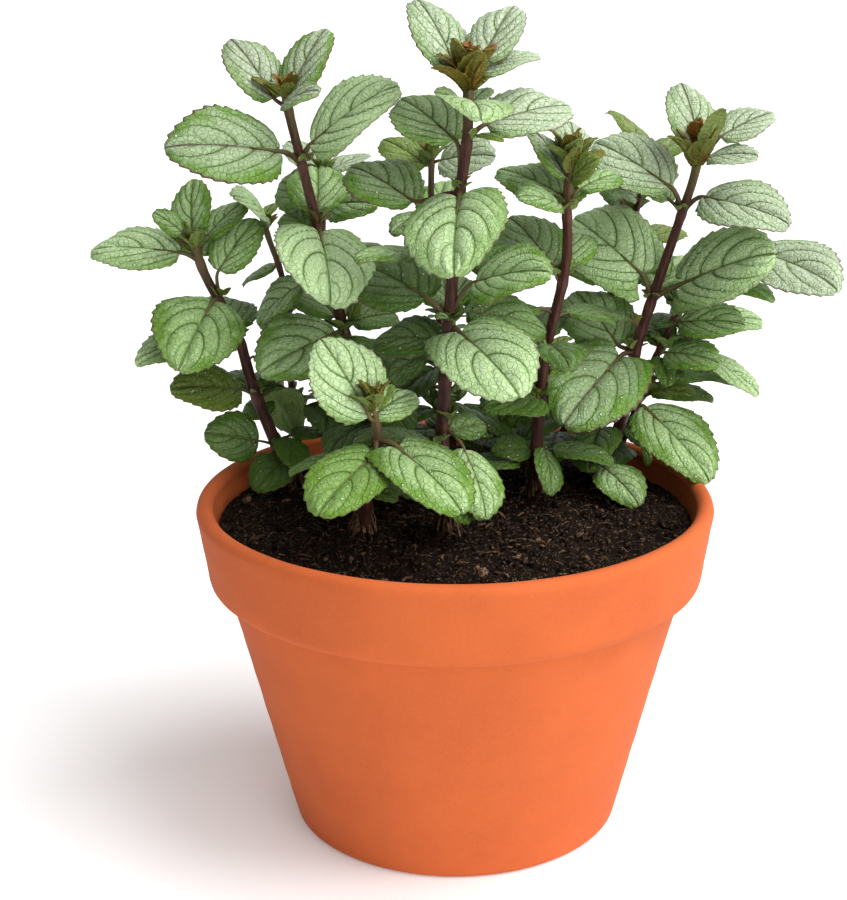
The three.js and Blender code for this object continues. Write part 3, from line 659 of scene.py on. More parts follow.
def tooth_push(edge, teeth, depth, rng):
    """How far the teeth move each row of the margin, for the left half and then the right. Along a tooth the
    push grows as (phase / crest)^1.3 and falls straight to nothing after the crest. It leans forward, and it
    fades out at both ends of the margin."""
    run = np.concatenate([[0], np.cumsum(np.linalg.norm(np.diff(edge, axis=0), axis=-1))])
    run /= run[-1]
    ahead = unit(np.gradient(edge, axis=0))
    out = np.stack([-ahead[:, 1], ahead[:, 0]], -1)
    push = []
    for _ in range(2):
        phase = (run * teeth + rng.uniform(0, 0.5)) % 1
        falling = (1 - phase) / (1 - TOOTH_CREST)
        saw = np.where(phase < TOOTH_CREST, (phase / TOOTH_CREST) ** 1.3, falling)
        saw = saw * np.clip(run / 0.08, 0, 1) * np.clip((1 - run) / 0.07, 0, 1)
        push.append((out + 0.55 * ahead) * (saw * depth)[:, None])
    return push


def vein_lines(share, across, length, heart, rng):
    """Where the side vein through a point leaves the midrib: it starts out square and bends to run forward
    along the margin. The lines count the veins, with one at each integer, and the two halves don't match."""
    reach = np.abs(across)
    square, bend = (0.12, 0.50) if heart else (0.26, 0.38)
    origin = share - square * reach - bend * reach**2 - 0.03
    veins = 3.9 if length > LARGE_LEAF else 3.3
    line = 1 + veins * np.sign(origin) * np.abs(origin) ** 0.83
    return line + rng.uniform(-0.1, 0.1) + np.where(across < 0, rng.uniform(0.25, 0.5), 0)


def blade(pile, base, axes, length, width, look, seed, fold=FOLD):
    """One leaf blade, a closed thin shell. Its rows leave the midrib and curve forward to the margin as the
    side veins do, so the distance to a vein depends on the row alone. The surface puffs up between the veins,
    sinks along them and waves towards the margin, which carries forward-pointing teeth."""
    rng = np.random.default_rng(seed)
    settings = bpy.context.scene.mint_leaves
    tiny = length <= TINY_LEAF
    columns = COLUMNS["tiny" if tiny else "large" if length > LARGE_LEAF else "middling"]
    rows = 6 if tiny else int(np.clip(length * 2.3, 10, 74))
    heart = look.isupper()
    t = np.linspace(0, 1, rows + 1)[1:-1]
    margin = 0.45 * t + 0.55 * (1 - np.cos(np.pi * t)) / 2
    rib = margin - 0.94 * margin * (1 - margin)
    v = np.concatenate([-columns[::-1], columns[1:]])
    reach = np.abs(v)
    lobe = (0.25 if heart else 0.03) * (margin / 0.09) * np.exp(1 - margin / 0.09)

    # The margin of a half and what its teeth add, most of it in the outer fifth.
    side = half_width(margin, width, heart)
    edge = np.stack([length * (margin - lobe), side], -1)
    teeth = int(np.clip(length * settings.teeth_per_mm + 1.5, 4, 13))
    bite = 0 if tiny else settings.tooth_depth * (0.25 + length / 48)
    left, right = tooth_push(edge, teeth, bite, rng)
    shove = np.where((v < 0)[None, :, None], left[:, None], right[:, None])
    shove = shove * np.clip((reach - 0.78) / 0.22, 0, 1)[None, :, None] ** 1.4
    share = rib[:, None] + (margin - rib)[:, None] * (0.45 * reach + 0.55 * reach**3)
    share = share - lobe[:, None] * reach**2 + shove[..., 0] / length
    across = side[:, None] * v + shove[..., 1] * np.sign(v)

    line = vein_lines(share, v, length, heart, rng)
    groove = np.exp(-(((line - np.round(line)) / VEIN_WIDTH) ** 2))
    puff = np.abs(np.sin(np.pi * line)) ** 0.8

    # Relief, all in proportion to the leaf: panels and veins, a sunk midrib, a wave on each half, the bend of
    # margin and tip, a slight twist, and small bumps.
    fade = (1 - reach**4) * reach / (reach + 0.12)
    depth = settings.quilting * length / 36 * rng.uniform(0.8, 1.25)
    lift = depth * (0.95 * puff - 0.6 * groove) * fade
    lift = lift - 1.1 * depth * np.exp(-((across / (0.035 * length)) ** 2))
    for half in (-1, 1):
        wave = np.sin(2 * np.pi * (rng.uniform(1.1, 1.9) * margin + rng.uniform()))[:, None]
        lift = lift + np.where(half * v > 0, 0.016 * length * wave * reach**2.5, 0)
    lift = lift - 0.035 * length * reach**5 - 0.04 * length * reach**2
    lift = lift - 0.035 * length * np.clip((share - 0.7) / 0.3, 0, 1) ** 2
    lift = lift + across * share * math.tan(math.radians(rng.uniform(-9, 9)))
    flat = np.stack([share * length, across, 0 * share], -1)
    lift = lift + 0.22 * depth * ripple(flat, seed, 3.0, 2) * (0.3 + reach) * (1 - reach**6)

    # The two faces: an even thickness that thins towards the margin, and ribs below.
    middle, normal = on_blade(base, axes, length, share, across, lift, fold)
    half = settings.thickness / MM / 2 * (1 - 0.55 * reach**6)[None, :] * min(1, 0.5 + length / 40)
    ribs = 0.42 * np.exp(-((across / 0.6) ** 2)) * np.clip(1 - share, 0, 1) ** 0.7
    ribs = (ribs + 0.18 * groove * (1 - reach)) * min(1, length / 30)
    top = middle + normal * half[..., None]
    bottom = middle - normal * (half + ribs)[..., None]
    rings = np.concatenate([top, bottom[:, -2:0:-1]], 1)
    ends = np.array([[lift[0].mean(), lift[-1].mean()]])
    poles, _ = on_blade(base, axes, length, np.array([[0.0, 1.0]]), 0 * ends, ends, fold)

    # What the material reads at each point.
    pale, dark, olive, violet = LOOKS[look.lower()]
    back = slice(-2, 0, -1)
    under = np.concatenate([np.zeros_like(share), np.ones_like(share[:, back])], 1)
    both = np.concatenate([v, v[back]])
    line = np.concatenate([line, line[:, back]], 1)
    across = np.concatenate([across, across[:, back]], 1)
    flat = np.stack([line / MAP_VEINS, across / MAP_WIDTH + 0.5], -1)
    vary = rng.uniform(-0.1, 0.1, 2)
    # The tone: paleness, which is partly painted sheen, darkness, which paints shade, and olive.
    tone = np.clip([pale + vary[0], dark + vary[1], olive * rng.uniform(0.75, 1.1)], 0, 1)
    spot = np.stack(np.broadcast_arrays(under, violet, np.abs(both)[None]), -1)
    pile.add(rings, poles[0, 0], poles[0, 1], tone, spot, flat)


def stem_spot(green, joint=0.0):
    """The spot that the stem's material reads at each ring of a tube: greenness, and nearness to a joint."""
    return np.stack(np.broadcast_arrays(green, joint, 0.0), -1)[:, None]


def stalk(pile, stem, base, axes, length, leaving, look):
    """A leaf's stalk: a cubic from the stem to the blade's base, which runs on as the rib under the blade. It
    is thick at the stem and thins along its length, and is greener on young leaves than on violet ones."""
    reach = np.linalg.norm(base - stem)
    path = hermite(stem, base, leaving * reach * 1.1, axes[0] * reach * 0.9, 9)
    share = np.array([0.05, 0.12, 0.2, 0.28])
    below, _ = on_blade(base, axes, length, share, 0 * share, 0 * share - 0.35)
    path = np.concatenate([path, below])
    free = np.interp(np.linspace(0, 1, 9), [0, 0.12, 1], [1.15, 0.82, 0.62])
    radius = np.clip(length / 28, 0.45, 1.15) * np.concatenate([free, [0.5, 0.42, 0.33, 0.2]])
    _, _, olive, violet = LOOKS[look.lower()]
    green = np.interp(np.arange(len(path)), [0, 9, 12], [0.15, 0.6, 0.8])
    green = np.clip(green + 0.35 * olive - 0.3 * violet, 0, 1)
    pile.add(tube(path, radius, axes[1], 10, 0.04), path[0], path[-1], spot=stem_spot(green))


def stem_tube(pile, route, widths, joints, seed):
    """A stem of rounded square section from inside the soil to its tip. It thins evenly along its height,
    swells as e^-(distance/1.5)^2 at the joints where leaves leave, and is drawn in at the very tip."""
    top = route[-1][2]
    z = np.arange(ROOTED_TO, top + 0.5, 0.8)
    path = smooth_route(route, np.maximum(z, route[0][2]))
    path[:, 2] = z
    share = np.clip((z - CLEAR_OF_SOIL) / (top - CLEAR_OF_SOIL), 0, 1)
    radius = (widths[0] + (widths[1] - widths[0]) * share) * 0.53
    swell = np.exp(-(((z[:, None] - np.array(joints)[None] + 0.3) / 1.5) ** 2)).max(1)
    radius = radius * (1 + 0.13 * swell) * (1 + 0.015 * np.sin(z * 0.55 + seed))
    radius = radius * np.clip((top + 1.2 - z) / 2.5, 0.35, 1)
    rings = tube(path, radius, np.array([0.6, 0.8, 0.0]), 24, 0.09)
    green = np.clip((z - top + 16) / 40, 0, 0.4)
    pile.add(rings, path[0], path[-1] + [0, 0, 0.4], spot=stem_spot(green, swell))


def grow_leaf(blades, wood, row, start, middle, seed):
    """The blade and the stalk of one row of the table. The blade is placed from the start, which for a leaf
    of the solid is on its stem's straight run, and the stalk leaves from the stem's middle."""
    _, stalk_length, stalk_bearing, stalk_rise, bearing, rise, roll, length, width, look = row
    base = start + vector(stalk_bearing, stalk_rise) * stalk_length
    axes = leaf_frame(bearing, rise, roll)
    blade(blades, base, axes, length, width, look, seed)
    leaving = vector(stalk_bearing, min(80, stalk_rise + 18))
    stalk(wood, middle, base, axes, length, leaving, look)


def grow_stem(name, index):
    """One leafy stem: a piece of blades and a piece of stem and stalks."""
    stem = STEMS[name]
    route = stem["route"]
    blades, wood = Pile(), Pile()
    stem_tube(wood, route, stem["width"], sorted({row[0] for row in stem["leaves"]}), index)
    rng = np.random.default_rng(100 + index)
    for number, row in enumerate(stem["leaves"]):
        height, _, stalk_bearing, *_, length, _, _ = row
        start = straight_route(route, height)
        middle = smooth_route(route, np.array([start[2]]))[0]
        grow_leaf(blades, wood, row, start, middle, 1000 * index + number)
        if length > SHOOT_LEAF and start[2] < route[-1][2] - SHOOT_BELOW_TIP:
            size = np.interp(start[2], SHOOT_HEIGHTS, SHOOT_SIZES) * stem["shoots"]
            side_shoot(blades, wood, middle, stalk_bearing, size, rng, 9000 + 40 * index + number)
    tip_leaves(blades, route, stem["tip"], rng, 7000 + 50 * index)
    for number, row in enumerate(stem.get("inner", ())):
        middle = smooth_route(route, np.array([row[0]]))[0]
        grow_leaf(blades, wood, row, middle, middle, 5000 + 20 * index + number)
    blades.piece(name + ".leaves", material("mint leaf"), "mint", [name])
    wood.piece(name + ".stalks", material("mint stem"), "mint")


def side_shoot(blades, wood, foot, bearing, size, rng, seed):
    """A short shoot in the angle between a leaf's stalk and its stem: one small pair of leaves, and where the
    shoot is long enough a stalk, which is a cubic that bends upright, and a second pair across the first."""
    long = size > LONG_SHOOT
    tip = foot + vector(bearing + rng.uniform(-25, 25), 48) * (1.9 + 0.45 * max(0, size - 5))
    if long:
        path = hermite(foot, tip, vector(bearing, 20) * 3, np.array([0, 0, 3.0]), 7)
        rings = tube(path, np.linspace(0.75, 0.5, 7), vector(bearing + 90, 0), 8, 0.04)
        wood.add(rings, path[0], path[-1] + [0, 0, 0.3], spot=stem_spot(np.linspace(0.3, 0.8, 7)))
    for pair in range(2 if long else 1):
        for half in (0, 180):
            length = size * (0.62 if pair else 1) * rng.uniform(0.8, 1.1)
            facing = bearing + 90 + 90 * pair + half + rng.uniform(-20, 20)
            rise = rng.uniform(12, 40) + 22 * pair + 20 * (size < 6)
            axes = leaf_frame(facing, rise, rng.uniform(-15, 15))
            mood = rng.choice(["d", "g", "y"] if long and not pair else ["y", "y", "o"])
            base = tip + vector(facing, 30) * 0.4
            blade(blades, base, axes, length, length * 0.68, str(mood), seed + 7 * pair + half, 20)


def tip_leaves(pile, route, bunch, rng, seed):
    """Crossed pairs of young leaves, folded along the midrib and standing close together as a cup. Each pair
    is smaller and more upright than the one outside it."""
    size, pairs, outer, inner = bunch
    top = smooth_route(route, np.array([route[-1][2] - TOP_INSET]))[0]
    for pair in range(pairs):
        for half in (0, 180):
            bearing = 35 + 74 * pair + half + rng.uniform(-15, 15)
            length = size * (1 - 0.05 * pair) * rng.uniform(0.85, 1.1)
            base = top + vector(bearing, 10) * 0.9 + np.array([0, 0, 0.4 * pair])
            axes = leaf_frame(bearing, 40 + 9 * pair + rng.uniform(-8, 8), rng.uniform(-14, 14))
            look = inner if pair > 1 else outer
            blade(pile, base, axes, length, length * 0.66, look, seed + 2 * pair + half, 26)


def arc(centre, radius, first, last, steps):
    """Points of a rounded edge in a profile, from one angle to another in degrees."""
    angle = np.radians(np.linspace(first, last, steps))
    return np.stack([centre[0] + radius * np.cos(angle), centre[1] + radius * np.sin(angle)], -1)


def close_steps(profile, most):
    """The profile with points added so that no step is longer than most."""
    done = [profile[:1]]
    for here, after in zip(profile[:-1], profile[1:]):
        count = max(1, math.ceil(np.linalg.norm(after - here) / most))
        share = np.arange(1, count + 1)[:, None] / count
        done.append(here + (after - here) * share)
    return np.concatenate(done)


def pot_profile():
    """The pot's section as a closed loop of radius and height, anticlockwise from the drainage hole."""
    lip = LIP_WALL / 2
    outline = [
        np.array([[HOLE_RADIUS + 0.6, 0.0], [46, 0.0]]),
        arc((BASE_RADIUS - BASE_ROUND, BASE_ROUND), BASE_ROUND, -90, -8, 9),
        np.array([[BODY_TOP_RADIUS, COLLAR_BOTTOM - 1.2]]),
        arc((BODY_TOP_RADIUS + 1.1, COLLAR_BOTTOM - 0.9), 1.0, 180, 100, 6),
        arc((COLLAR_RADIUS - COLLAR_ROUND, COLLAR_BOTTOM + 5.4), COLLAR_ROUND, -78, 0, 12),
        arc((LIP_RADIUS - lip, POT_HEIGHT - lip), lip, 0, 180, 20),
        np.array(INSIDE[::-1]),
        np.array([[HOLE_RADIUS, FLOOR], [HOLE_RADIUS, 0.6]]),
    ]
    return close_steps(np.concatenate(outline), 2.2)


def make_pot(settings):
    """The pot: its section turned about +Z as a function of section point and angle, a little out of true and
    with fine turning marks."""
    profile = pot_profile()
    angle = full_turn(POT_SIDES)
    ring = np.stack([np.cos(angle), np.sin(angle), 0 * angle], -1)
    radius, height = profile[:, 0, None], profile[:, 1, None]
    round_place = ring[None] * radius[..., None] + np.array([0, 0, 1.0]) * height[..., None]
    uneven = settings.unevenness / MM * ripple(round_place, 5, 60, 3)
    marks = 0.05 * np.sin(height * 2.4 + 0.6 * np.sin(angle[None])) * (height > FLOOR + 1)
    places = round_place + ring[None] * ((uneven + marks) * (radius > 20))[..., None]
    count = len(profile)
    i = np.arange(count)[:, None]
    k = np.arange(POT_SIDES)[None]
    row, after, beside = i * POT_SIDES, (i + 1) % count * POT_SIDES, (k + 1) % POT_SIDES
    quads = np.stack([row + k, row + beside, after + beside, after + k], -1)
    mesh = mesh_of("clay_pot", places.reshape(-1, 3), quads.reshape(-1, 4), np.zeros((0, 3), int))
    settled("clay_pot", mesh, material("fired clay"), ["pot"])


def soil_height(x, y):
    """The height of the soil's top: a low crown, clods and hollows that fall off as e^-(distance/reach)^2, a
    heap of that form round each stem, and the roughness of loose soil, all fading towards the clay."""

    def mound(centre, reach):
        return np.exp(-((np.hypot(x - centre[0], y - centre[1]) / reach) ** 2))

    radius = np.hypot(x, y)
    clods = sum(height * mound((cx, cy), reach) for cx, cy, reach, height in CLODS)
    heap = HEAP * np.maximum.reduce([mound(stem["route"][0], HEAP_REACH) for stem in STEMS.values()])
    flat = np.stack([x, y, 0 * x], -1)
    rough = 1.2 * (1 - 2 * np.abs(ripple(flat, 11, 8, 4))) + 0.9 * ripple(flat, 12, 2.6, 3)
    slow = np.clip((74 - radius) / 8, 0, 1) * (clods + heap)
    crown = SOIL_TOP - 0.4 + SOIL_CROWN * (1 - (radius / 75) ** 2)
    return crown + slow + np.clip((75 - radius) / 5, 0.25, 1) * rough


def make_soil(settings):
    """The soil as one closed body, with rings from the middle of its top out to the rim and down inside the
    pot, then its loose crumbs and its bits of bark and fibre."""
    angle = full_turn(SOIL_SIDES)
    ring = np.stack([np.cos(angle), np.sin(angle)], -1)
    rim = INNER_AT_COLLAR + 1.1 - SOIL_GAP
    radii = np.linspace(0.9, rim, 96)[::-1]
    flat = ring[None] * radii[:, None, None]
    top = np.concatenate([flat, soil_height(flat[..., 0], flat[..., 1])[..., None]], -1)
    wall = np.array(INSIDE) + [-SOIL_GAP, SOIL_GAP]
    wall = np.concatenate([ring[None] * wall[:, 0, None, None],
                           np.broadcast_to(wall[:, 1, None, None], (len(wall), SOIL_SIDES, 1))], -1)
    rings = np.concatenate([wall, top])[::-1]
    body = Pile()
    tone = np.clip(0.5 + 0.5 * ripple(rings, 13, 7, 3), 0, 1)[..., None] * [1, 0, 0]
    body.add(rings, [0, 0, float(soil_height(np.array([0.0]), np.array([0.0]))[0])],
             [0, 0, FLOOR + SOIL_GAP], tone)
    body.piece("soil_bed", material("potting soil"), "soil", ["soil"])
    rng = np.random.default_rng(21)
    make_crumbs(settings.crumbs, rng)
    make_fibres(settings.fibres, rng)


def turns_of(rng, many):
    """Random rotation matrices, from random quaternions."""
    w, x, y, z = unit(rng.normal(size=(many, 4))).T
    return np.stack([
        np.stack([1 - 2 * (y * y + z * z), 2 * (x * y - z * w), 2 * (x * z + y * w)], -1),
        np.stack([2 * (x * y + z * w), 1 - 2 * (x * x + z * z), 2 * (y * z - x * w)], -1),
        np.stack([2 * (x * z - y * w), 2 * (y * z + x * w), 1 - 2 * (x * x + y * y)], -1),
    ], 1)


def scattered(many, inner, outer, rng):
    """Random x and y on the soil, even over its area."""
    distance = np.sqrt(rng.uniform(inner, 1, many)) * outer
    bearing = rng.uniform(0, 2 * np.pi, many)
    return distance * np.cos(bearing), distance * np.sin(bearing)


def slivers(path, side, face, wide, depth, corners):
    """Rings round many short paths at once: flat ellipses, wide to the side and a share of that deep."""
    corner = full_turn(corners)
    across = (wide[..., None] * np.cos(corner))[..., None]
    thick = (depth * wide[..., None] * np.sin(corner))[..., None]
    return path[:, :, None] + side[:, None, None] * across + face[:, None, None] * thick


def make_crumbs(many, rng):
    """Loose crumbs, each a ball of 4 rings by 7 with uneven radii that lies half sunk in the soil."""
    x, y = scattered(many, 0, CRUMB_REACH, rng)
    size = 0.35 + 1.7 * rng.uniform(0, 1, many) ** 4
    level = np.radians([22, 62, 108, 150])
    around = full_turn(7)
    ball = np.stack(np.broadcast_arrays(
        np.sin(level)[:, None] * np.cos(around),
        -np.sin(level)[:, None] * np.sin(around),
        np.cos(level)[:, None],
    ), -1)
    rough = 1 + rng.uniform(-0.35, 0.35, (many, 4, 7, 1))
    shape = ball[None] * rough * rng.uniform(0.55, 1.1, (many, 1, 1, 3)) * size[:, None, None, None]
    turn = turns_of(rng, many)
    centre = np.stack([x, y, soil_height(x, y) + 0.15 * size], -1)
    rings = np.einsum("nij,nabj->nabi", turn, shape) + centre[:, None, None]
    poles = np.einsum("nij,nj->ni", turn, np.array([0, 0, 1.0]) * size[:, None])
    light = rng.uniform(0, 1, many) ** 3
    tones = np.stack([light, 0.8 * (rng.uniform(0, 1, many) > 0.93), 0 * light], -1)
    bits = Pile()
    bits.shells(rings, centre + poles * 0.8, centre - poles * 0.8, tones, 0 * tones)
    bits.piece("soil_crumbs", material("potting soil"), "soil")


def make_fibres(many, rng):
    """Bits of bark and fibre, each a thin strip that bows sideways and arches up, both as a parabola along
    its length, and with them the woody scraps at the stems' feet."""
    x, y = scattered(many, 0.02, FIBRE_REACH, rng)
    length = 0.9 + 6.0 * rng.uniform(0, 1, many) ** 3
    wide = 0.10 + 0.65 * rng.uniform(0, 1, many) ** 3.5
    along = np.linspace(-0.5, 0.5, 6)
    bow = rng.uniform(-0.1, 0.1, (many, 1))
    turned = rng.uniform(0, 2 * np.pi, many)
    lean = rng.uniform(-0.35, 0.35, many)
    ahead = np.stack([np.cos(turned) * np.cos(lean), np.sin(turned) * np.cos(lean), np.sin(lean)], -1)
    aside = np.stack([-np.sin(turned), np.cos(turned), 0 * turned], -1)
    up = np.cross(ahead, aside)
    centre = np.stack([x, y, soil_height(x, y) + 0.5], -1)
    path = centre[:, None] + ahead[:, None] * (along * length[:, None])[..., None]
    path = path + aside[:, None] * (bow * length[:, None] * (along**2 * 4 - 0.5))[..., None]
    path = path + up[:, None] * (0.12 * length[:, None] * (0.5 - along**2 * 4))[..., None]
    taper = 1 - 0.55 * (np.abs(along) * 2) ** 2
    tones = np.stack([rng.uniform(0.2, 1, many), rng.uniform(0.1, 1, many) ** 2, 0 * x], -1)
    bits = Pile()
    bits.shells(slivers(path, aside, -up, wide[:, None] * taper, 0.4, 5), path[:, 0], path[:, -1], tones,
                0 * tones)
    root_crowns(bits, rng)
    bits.piece("soil_fibres", material("potting soil"), "soil")


def root_crowns(bits, rng):
    """Woody scraps that lean against the stems' feet: crooked four-sided slivers from the soil up the stem,
    each drawn in towards its top."""
    feet = np.array([stem["route"][0][:2] for stem in STEMS.values() for _ in range(stem["scraps"])])
    many = len(feet)
    around = rng.uniform(0, 2 * np.pi, many)
    out = np.stack([np.cos(around), np.sin(around)], -1)
    spread = rng.uniform(2.4, 5.4, many)[:, None]
    low = feet + out * spread
    foot = np.concatenate([low, soil_height(low[:, 0], low[:, 1])[:, None] - 0.6], -1)
    climb = rng.uniform(3.5, 13, many)[:, None] * (1.35 - 0.14 * spread)
    head = np.concatenate([feet + out * (1.9 + rng.uniform(0, 1, (many, 1))), foot[:, 2:] + climb], -1)
    share = np.linspace(0, 1, 5)[:, None]
    path = foot[:, None] + (head - foot)[:, None] * share
    path = path + rng.normal(size=(many, 5, 3)) * 0.22
    side = np.stack([-out[:, 1], out[:, 0], np.zeros(many)], -1)
    face = np.cross(side, unit(head - foot))
    wide = rng.uniform(0.2, 0.7, many)[:, None] * np.array([1, 0.95, 0.8, 0.6, 0.25])
    tones = np.stack([rng.uniform(0.6, 1, many), rng.uniform(0.3, 1, many) ** 0.7, np.zeros(many)], -1)
    bits.shells(slivers(path, side, face, wide, 0.5, 4), path[:, 0], path[:, -1], tones, 0 * tones)


class Graph:
    """The nodes of a material or a group, each made, set and linked in one call."""

    def __init__(self, tree):
        self.tree = tree

    def feed(self, value, socket):
        """Links an output to a socket, or sets the socket to a number, place or colour."""
        if isinstance(value, bpy.types.NodeSocket):
            self.tree.links.new(value, socket)
        else:
            socket.default_value = value

    def node(self, kind, inputs=(), **settings):
        """A node with its settings, fed from outputs or values."""
        made = self.tree.nodes.new(kind)
        for key, value in settings.items():
            setattr(made, key, value)
        for key, value in dict(inputs).items():
            self.feed(value, made.inputs[key])
        return made

    def math(self, operation, a, b=0.0, c=0.0, clamp=False):
        """The result of a sum on outputs or numbers."""
        node = self.node("ShaderNodeMath", {0: a, 1: b, 2: c}, operation=operation, use_clamp=clamp)
        return node.outputs[0]

    def times(self, a, b, clamp=False):
        return self.math("MULTIPLY", a, b, clamp=clamp)

    def line(self, value, slope, start):
        """start + slope times the value."""
        return self.math("MULTIPLY_ADD", value, slope, start)

    def minus(self, a, b):
        return self.math("SUBTRACT", a, b)

    def mix(self, factor, a, b):
        """Colour a where the factor is 0 and colour b where it is 1."""
        a, b = [side if isinstance(side, bpy.types.NodeSocket) else colour(side) for side in (a, b)]
        return self.node("ShaderNodeMix", {0: factor, 6: a, 7: b}, data_type="RGBA").outputs[2]

    def paint(self, base, mask, strength, over):
        """The base, painted over at a share of the mask."""
        return self.mix(self.times(mask, strength), base, over)

    def band(self, value, low, high):
        """0 below low and 1 above high, or the other way round, with a smooth step between."""
        node = self.node("ShaderNodeMapRange", {0: value, 1: low, 2: high}, interpolation_type="SMOOTHSTEP")
        return node.outputs[0]

    def attribute(self, name):
        """The three numbers that a mesh carries under a name, as separate sockets."""
        numbers = self.node("ShaderNodeAttribute", attribute_name=name).outputs["Color"]
        return self.node("ShaderNodeSeparateColor", {0: numbers}).outputs[:3]

    def place(self):
        """The point of the piece in its own coordinates, in metres."""
        return self.node("ShaderNodeTexCoord").outputs["Object"]

    def noise(self, vector, scale, detail=3.0, rough=0.55):
        """Smooth noise round 0.5."""
        inputs = {"Vector": vector, "Scale": scale, "Detail": detail, "Roughness": rough}
        return self.node("ShaderNodeTexNoise", inputs).outputs["Fac"]

    def group(self, tree, inputs):
        """The outputs of a node group that the inputs are fed to."""
        return self.node("ShaderNodeGroup", inputs, node_tree=tree).outputs

    def mottle(self, vector, blotch_scale, speck_scale):
        """The masks of soft blotches and fine specks."""
        inputs = {"Vector": vector, "Blotch Scale": blotch_scale, "Speck Scale": speck_scale}
        return self.group(mottle(), inputs)

    def crumple(self, vector, broad_scale, grain_scale, grain_share):
        """The height of a grainy surface."""
        inputs = {"Vector": vector, "Broad Scale": broad_scale, "Grain Scale": grain_scale,
                  "Grain Share": grain_share}
        return self.group(crumple(), inputs)[0]


def effect(name, inputs, outputs):
    """An empty shader node group with named sockets, and its graph, input and output nodes."""
    tree = bpy.data.node_groups.new(name, "ShaderNodeTree")
    for label, kind, value in inputs:
        socket = tree.interface.new_socket(label, in_out="INPUT", socket_type=kind)
        if value is not None:
            socket.default_value = value
    for label, kind in outputs:
        tree.interface.new_socket(label, in_out="OUTPUT", socket_type=kind)
    graph = Graph(tree)
    return tree, graph, graph.node("NodeGroupInput").outputs, graph.node("NodeGroupOutput").inputs


def mottle():
    """Group: soft blotches and fine specks of a surface that isn't one even colour, as a mask each."""
    if "Mottle" in bpy.data.node_groups:
        return bpy.data.node_groups["Mottle"]
    tree, graph, given, result = effect(
        "Mottle",
        [("Vector", "NodeSocketVector", None), ("Blotch Scale", "NodeSocketFloat", 40.0),
         ("Speck Scale", "NodeSocketFloat", 900.0)],
        [("Blotches", "NodeSocketFloat"), ("Specks", "NodeSocketFloat")],
    )
    blotches = graph.noise(given["Vector"], given["Blotch Scale"], 4.0, 0.6)
    specks = graph.noise(given["Vector"], given["Speck Scale"], 2.0, 0.6)
    graph.feed(graph.band(blotches, 0.33, 0.68), result["Blotches"])
    graph.feed(graph.band(specks, 0.35, 0.68), result["Specks"])
    return tree


def crumple():
    """Group: the height of a grainy surface, from broad unevenness and fine grain in given shares."""
    if "Crumple" in bpy.data.node_groups:
        return bpy.data.node_groups["Crumple"]
    tree, graph, given, result = effect(
        "Crumple",
        [("Vector", "NodeSocketVector", None), ("Broad Scale", "NodeSocketFloat", 120.0),
         ("Grain Scale", "NodeSocketFloat", 1500.0), ("Grain Share", "NodeSocketFloat", 0.5)],
        [("Height", "NodeSocketFloat")],
    )
    broad = graph.noise(given["Vector"], given["Broad Scale"], 3.0)
    grain = graph.noise(given["Vector"], given["Grain Scale"], 2.0)
    part = graph.times(graph.minus(grain, broad), given["Grain Share"])
    graph.feed(graph.math("ADD", broad, part), result["Height"])
    return tree


def surface(name, specular, roughness=0.5):
    """A new material, its graph and its one shader, whose even numbers are set on its own sockets."""
    made = bpy.data.materials.new(name)
    made.use_nodes = True
    shader = made.node_tree.nodes["Principled BSDF"]
    shader.inputs["Specular IOR Level"].default_value = specular
    shader.inputs["Roughness"].default_value = roughness
    return made, Graph(made.node_tree), shader


def relief(graph, shader, height, depth):
    """A height over the surface, in metres at its full depth, fed to the shader as a bump."""
    bump = graph.node("ShaderNodeBump", {"Height": height, "Distance": depth, "Strength": 1.0})
    graph.feed(bump.outputs[0], shader.inputs["Normal"])


def colour(values):
    """A colour with the fourth number that a colour socket takes."""
    return (*values[:3], 1.0)


def clay_material():
    """Fired clay: soft blotches, pale specks that are rougher than the rest, and a fine grain."""
    look = bpy.context.scene.mint_pot
    made, graph, shader = surface("fired clay", 0.3)
    place = graph.place()
    blotches, specks = graph.mottle(place, 26.0, 1100.0)
    base = graph.mix(blotches, look.clay, look.blotch)
    graph.feed(graph.paint(base, specks, 0.22, look.speck), shader.inputs["Base Color"])
    graph.feed(graph.line(specks, 0.08, 0.78), shader.inputs["Roughness"])
    relief(graph, shader, graph.crumple(place, 150.0, 1400.0, 0.6), 0.0002)
    return made


def soil_material():
    """Damp soil. The tone's first number says how dry a bit is, and its second how fibrous and pale."""
    look = bpy.context.scene.mint_soil
    made, graph, shader = surface("potting soil", 0.12, 0.9)
    place = graph.place()
    dry, fibrous, _ = graph.attribute("tone")
    blotches, specks = graph.mottle(place, 160.0, 1300.0)
    base = graph.mix(blotches, look.dark, look.brown)
    base = graph.paint(base, dry, 0.5, look.brown)
    base = graph.paint(base, graph.times(fibrous, graph.line(specks, 0.6, 0.2)), 0.8, look.fibre)
    # Painted glints: the highest specks take a quarter of the fibre's pale colour.
    base = graph.paint(base, graph.band(specks, 0.86, 1.0), 0.25, look.fibre)
    graph.feed(base, shader.inputs["Base Color"])
    relief(graph, shader, graph.crumple(place, 500.0, 2200.0, 0.5), 0.0012)
    return made


